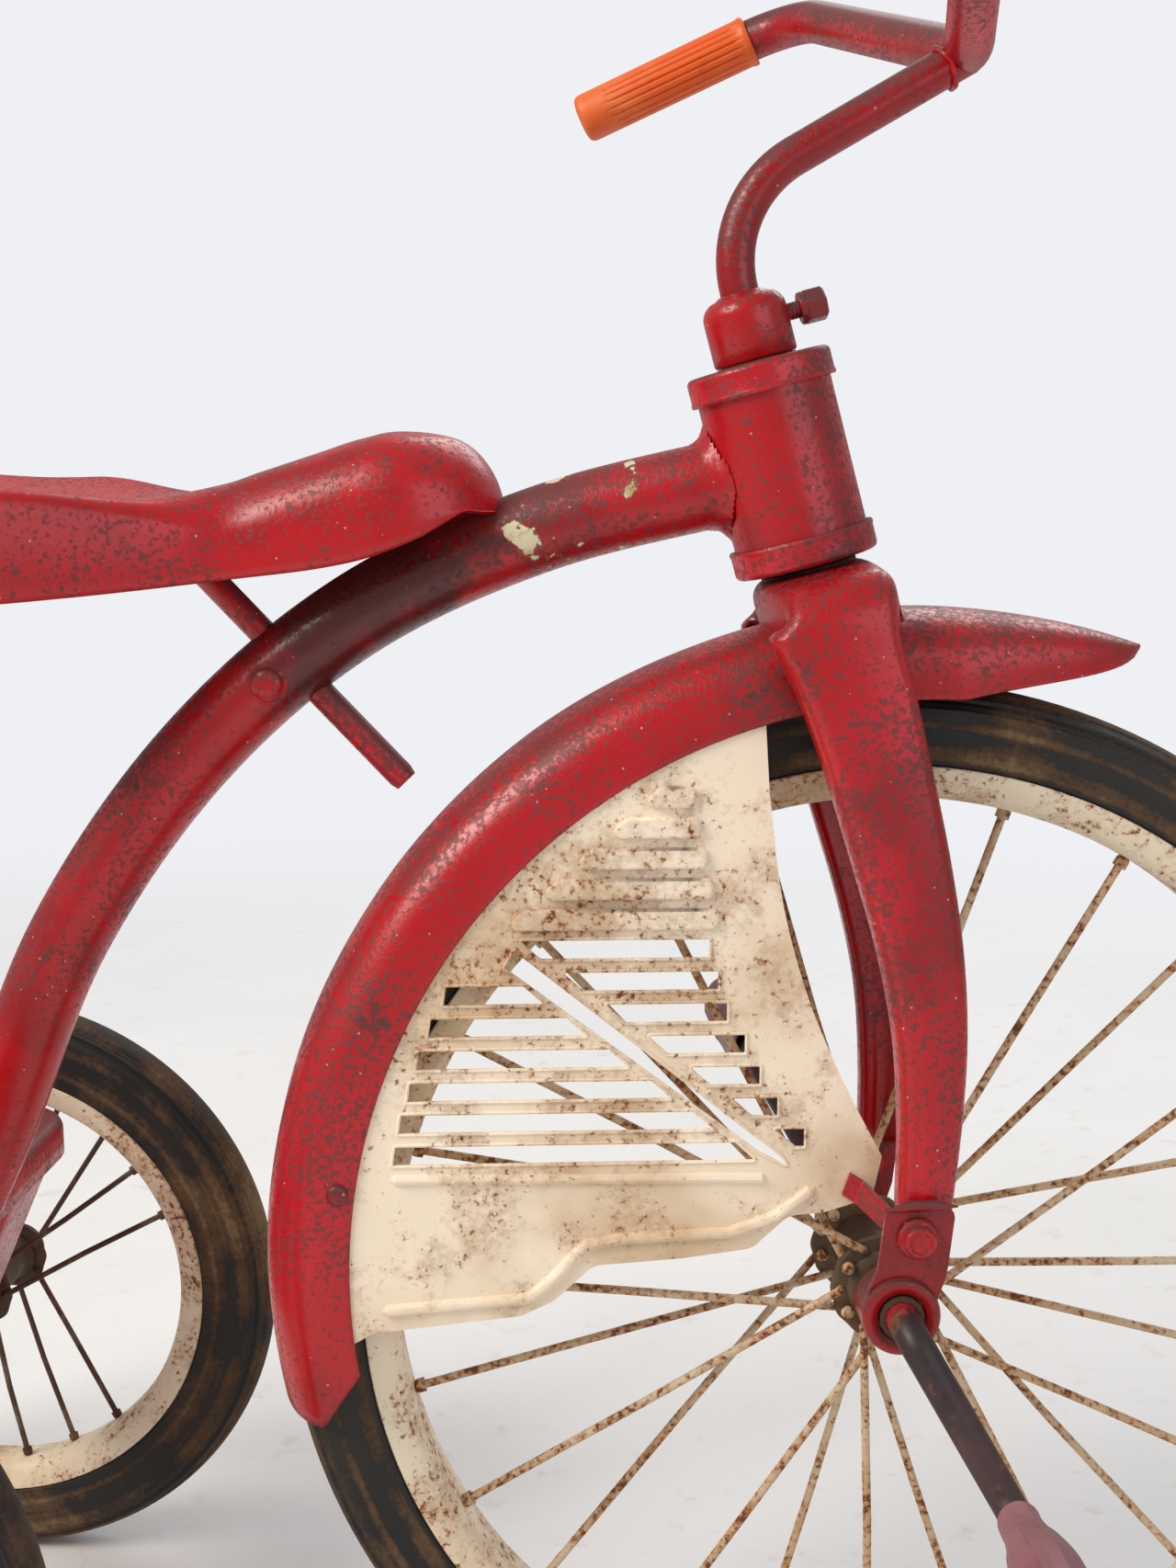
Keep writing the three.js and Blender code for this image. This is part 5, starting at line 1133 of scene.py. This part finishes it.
def rear_wheels():
    for name, way in (("left", 1), ("right", -1)):
        place, body = rear_hub(way), f"{name}_rear_wheel"
        make(f"{name}_rear_rubber", *moved(revolve(tyre_profile(REAR_R, REAR_BEAD_R, REAR_TYRE_HALF),
            160), TURN_TO_Y), place, body, REAR_TYRE, [f"{name}_rear_tyre"])
        make(f"{name}_rear_rim_steel", *moved(revolve(rim_profile(REAR_BEAD_R, REAR_TYRE_HALF), 160,
            closed=True), TURN_TO_Y), place, body, CREAM_RIM, [f"{name}_rear_rim"])
        barrel = [(5.3, -27), (8.6, -27), (9, -26.4), (9, -20), (10.5, -19), (8.6, -15), (8.4, 0),
            (8.6, 15), (10.5, 19), (9, 20), (9, 26.4), (8.6, 27), (5.3, 27)]
        make(f"{name}_rear_barrel", *moved(revolve(barrel, 40, closed=True), TURN_TO_Y), place, body,
            RUSTY, [f"{name}_rear_hub"])
        for face, out in (("outer", way), ("inner", -way)):
            make(f"{name}_rear_{face}_flange", *flange(15, out * REAR_FLANGE_Y, 9.1, 10, 1.6), place,
                body, RUSTY)
            wires = spoke_set(15, out * REAR_FLANGE_Y, 6, 83.6, out * 2.5, 1.2, 22, 30 if out > 0 else 0)
            make(f"{name}_rear_{face}_wires", *wires, place, body, DARK_WIRE,
                [f"{name}_rear_{face}_spokes"])
        cap = [(5.4, 28), (10.6, 28), (11, 28.6), (11, 30.6), (10.2, 31.6), (8.4, 32.2), (7.6, 35),
            (5.6, 36.8), (2.6, 37.8), (0, 38)]
        hat = moved(revolve(cap, 40), TURN_TO_Y)
        if way < 0:
            hat = mirrored(hat)
        make(f"{name}_axle_hat", *hat, place, "frame", RUSTY, [f"{name}_axle_cap"])


# ---- crank and pedals ---------------------------------------------------------------------
CRANK_CLEAR = 18.5  # from the fork's face out to the crank's elbow
ELBOW_TO_PIN = 14
PIN_LENGTH = 93
PEDAL_FROM = 10  # along the pin
PEDAL_LENGTH = 72


def crank_and_pedals():
    cs, sn = math.sin(math.radians(CRANK_ANGLE)), math.cos(math.radians(CRANK_ANGLE))
    elbow = FORK_HALF + CRANK_CLEAR
    pin_at = elbow + ELBOW_TO_PIN
    tip = pin_at + PIN_LENGTH
    corners = []
    for way in (1, -1):
        end = (-way * CRANK_THROW * cs, way * pin_at, way * CRANK_THROW * sn)
        corners.append([(end[0], way * tip, end[2]), end, (0, way * elbow, 0)])
    line = resample(rounded(corners[0] + corners[1][::-1], 11, 10), 3)
    make("crank_rod", *sweep(line, AXLE_R, 32), FRONT_HUB, "front_wheel", CRANK, ["crank_axle"])
    for name, way in (("left", 1), ("right", -1)):
        ends = pin_at + PEDAL_FROM, pin_at + PEDAL_FROM + PEDAL_LENGTH

        def block(r, h, a):
            wide = abs(math.cos(a - 1.15)) ** 1.6
            rib = 0.55 * max(0.0, math.cos(a * 12)) ** 2 * smoothstep(h, ends[0] + 14,
                ends[0] + 20) * (1 - smoothstep(h, ends[1] - 12, ends[1] - 6))
            return r * (1 + 0.32 * wide) + rib

        profile = [(6.0, ends[0] + 1.5), (6.2, ends[0] + 0.4), (6.8, ends[0])]
        for k in range(1, 40):
            h = k / 40
            swell = 6.5 + 4.6 * smoothstep(h, 0.0, 0.6) - 1.2 * smoothstep(h, 0.85, 1.0)
            profile.append((swell, ends[0] + PEDAL_LENGTH * h))
        profile += [(7.4, ends[1] - 0.4), (6.6, ends[1]), (6.0, ends[1] - 1)]
        pin = Matrix.Translation((-way * CRANK_THROW * cs, 0, way * CRANK_THROW * sn))
        rubber = moved(revolve(profile, 96, block), TURN_TO_Y)
        cap_profile = [(5.8, ends[1] + 0.3), (7.6, ends[1] + 0.3), (8, ends[1] + 0.9), (8, tip - 1),
            (7, tip + 0.8), (4.6, tip + 2.6), (0, tip + 3.2)]
        cap = moved(revolve(cap_profile, 36), TURN_TO_Y)
        if way < 0:
            rubber, cap = mirrored(rubber), mirrored(cap)
        rubber, cap = moved(rubber, pin), moved(cap, pin)
        make(f"{name}_pedal_block", *rubber, FRONT_HUB, f"{name}_pedal", PEDAL, [f"{name}_pedal"],
            crease=50)
        make(f"{name}_pedal_hat", *cap, FRONT_HUB, "front_wheel", RUSTY, [f"{name}_pedal_cap"])


# ---- rear frame ---------------------------------------------------------------------------
def rounded_rectangle(x0, x1, y0, y1, r, steps=8):
    points = []
    for cx, cy, start in ((x1 - r, y1 - r, 0), (x0 + r, y1 - r, 90), (x0 + r, y0 + r, 180),
        (x1 - r, y0 + r, 270)):
        for t in np.radians(np.linspace(start, start + 90, steps + 1)):
            points.append((cx + r * math.cos(t), cy + r * math.sin(t)))
    return points


def rear_frame():
    deck = pressed(rounded_rectangle(DECK_BACK_X, DECK_FRONT_X, -DECK_HALF, DECK_HALF, 26), 15, 5,
        crown=0.6)
    tray = [(x, z, DECK_TOP_Z - y) for x, y, z in deck[0]]
    make("step_tray", tray, deck[1], STRAIGHT, "frame", RED_TOP, ["step_deck"], wall=1.5)
    ribs = []
    for y in (-84, -63, -42, 42, 63, 84):
        line = [(DECK_BACK_X + 20, y, DECK_TOP_Z - 0.4), (DECK_FRONT_X - 20, y, DECK_TOP_Z - 0.4)]
        ribs.append(sweep(resample(line, 3), softened(3.4, DECK_FRONT_X - DECK_BACK_X - 40, 3.2), 16,
            flat=0.6))
    make("step_ribs", *joined(*ribs), STRAIGHT, "frame", RED_TOP)

    around = np.radians(np.linspace(20, -200, 24))
    foot = [(REAR_AXLE_X + 17 * math.cos(t), REAR_R + 17 * math.sin(t)) for t in around]
    top = DECK_TOP_Z - 1.9
    outline = rounded([(DECK_BACK_X + 26, top), (DECK_FRONT_X - 6, top), (DECK_FRONT_X - 9, top - 22),
        foot[0]], 5, 4)
    outline = [tuple(p) for p in outline[:-1]] + foot
    outline = [tuple(p) for p in resample(outline + [outline[0]], 5)][:-1]
    for name, way in (("left", 1), ("right", -1)):
        leg = pressed(outline[::-1], LEG_DEPTH, 5)
        leg = [(x, way * (LEG_Y - y), z) for x, y, z in leg[0]], leg[1]
        make(f"{name}_leg_pressing", *leg, STRAIGHT, "frame", RED_TOP, [f"{name}_axle_leg"], wall=1.5)
    sleeve = [(5.4, -29.7), (9.4, -29.7), (10, -29), (10, 29), (9.4, 29.7), (5.4, 29.7)]
    axle_place = STRAIGHT @ Matrix.Translation((REAR_AXLE_X, 0, REAR_R))
    make("axle_tube", *moved(revolve(sleeve, 40, closed=True), TURN_TO_Y), axle_place, "frame", RED_TOP,
        ["axle_sleeve"])
    rod = [(0, -173), (4.4, -173), (5, -172.4), (5, 172.4), (4.4, 173), (0, 173)]
    make("axle_rod", *moved(revolve(rod, 32), TURN_TO_Y), axle_place, "frame", RUSTY, ["rear_axle"])


head_and_backbone()
steering_head()
saddle()
seat_fittings()
fork()
crank_brackets()
mudguard()
skirt()
front_wheel()
rear_wheels()
crank_and_pedals()
rear_frame()

# Parts that hardly show keep their CAD shape and take bare steel.
for node in ("upper_head_bush", "lower_head_bush", "steerer_tube", "seat_bracket", "left_axle_bush",
    "right_axle_bush"):
    frame["nodes"][node].material_slots[0].material = RUSTY


# ---- floor, light and camera --------------------------------------------------------------
def pale_floor():
    """A painted floor that melts into the backdrop away from the tricycle."""
    f = Finish("pale_floor", IOR=1.45)
    colour = f.over("#f4f4f4", "#ececeb", f.step(f.grain(260, 3), 0.35, 0.7))
    colour = f.over(colour, "#c9c5bf", f.step(f.grain(14, 6, 0.7), 0.56, 0.75, 0, 0.45))
    material = f.done(colour, f.step(f.grain(120, 3), 0.3, 0.7, 0.55, 0.7))
    clear = add(f.tree, "ShaderNodeBsdfTransparent")
    fade = f.near(Vector((0, 0, 0)), 1.9, 0.7)
    mixer = add(f.tree, "ShaderNodeMixShader", {0: fade, 1: clear.outputs[0], 2: f.shader.outputs[0]})
    f.tree.links.new(mixer.outputs[0], f.tree.nodes["Material Output"].inputs["Surface"])
    size = 2
    mesh = bpy.data.meshes.new("floor")
    mesh.from_pydata([(-size, -size, 0), (size, -size, 0), (size, size, 0), (-size, size, 0)], [],
        [(0, 1, 2, 3)])
    floor = bpy.data.objects.new("floor", mesh)
    bpy.context.collection.objects.link(floor)
    mesh.materials.append(material)


def lamp(name, at, size, power, colour, aim):
    data = bpy.data.lights.new(name, "AREA")
    data.size = size
    data.energy = power
    data.color = linear(colour)[:3]
    obj = bpy.data.objects.new(name, data)
    obj.location = at
    obj.rotation_euler = (Vector(aim) - Vector(at)).to_track_quat("-Z", "Y").to_euler()
    bpy.context.collection.objects.link(obj)


pale_floor()
middle = (Vector(cad_box[0]) + Vector(cad_box[1])) / 2
lamp("window", (-1.5, -1.0, 1.8), 1.1, 44, "#fff8f0", middle)
lamp("fill", (1.7, -1.6, 1.2), 1.8, 13, "#f0f4ff", middle)
lamp("back", (0.5, 1.7, 1.8), 1.4, 16, "#ffffff", middle)
world = bpy.data.worlds.new("studio")
world.use_nodes = True
sky = world.node_tree
soft = sky.nodes["Background"]
soft.inputs["Color"].default_value = linear("#f2f1f0")
soft.inputs["Strength"].default_value = 0.46
backdrop = add(sky, "ShaderNodeBackground", {"Color": linear("#eff0f4"), "Strength": 1.0})
seen = add(sky, "ShaderNodeLightPath").outputs["Is Camera Ray"]
both = add(sky, "ShaderNodeMixShader", {0: seen, 1: soft.outputs[0], 2: backdrop.outputs[0]})
sky.links.new(both.outputs[0], sky.nodes["World Output"].inputs["Surface"])
bpy.context.scene.world = world
bpy.context.scene.view_settings.view_transform = "Standard"

eye = bpy.data.cameras.new("camera")
eye.lens = 48.5
camera = bpy.data.objects.new("camera", eye)
camera.location = ground_zero + Vector((-0.036, -0.705, 0.494))
camera.rotation_euler = (math.radians(90 - 9.96), 0, math.radians(5.16))
bpy.context.collection.objects.link(camera)
bpy.context.scene.camera = camera
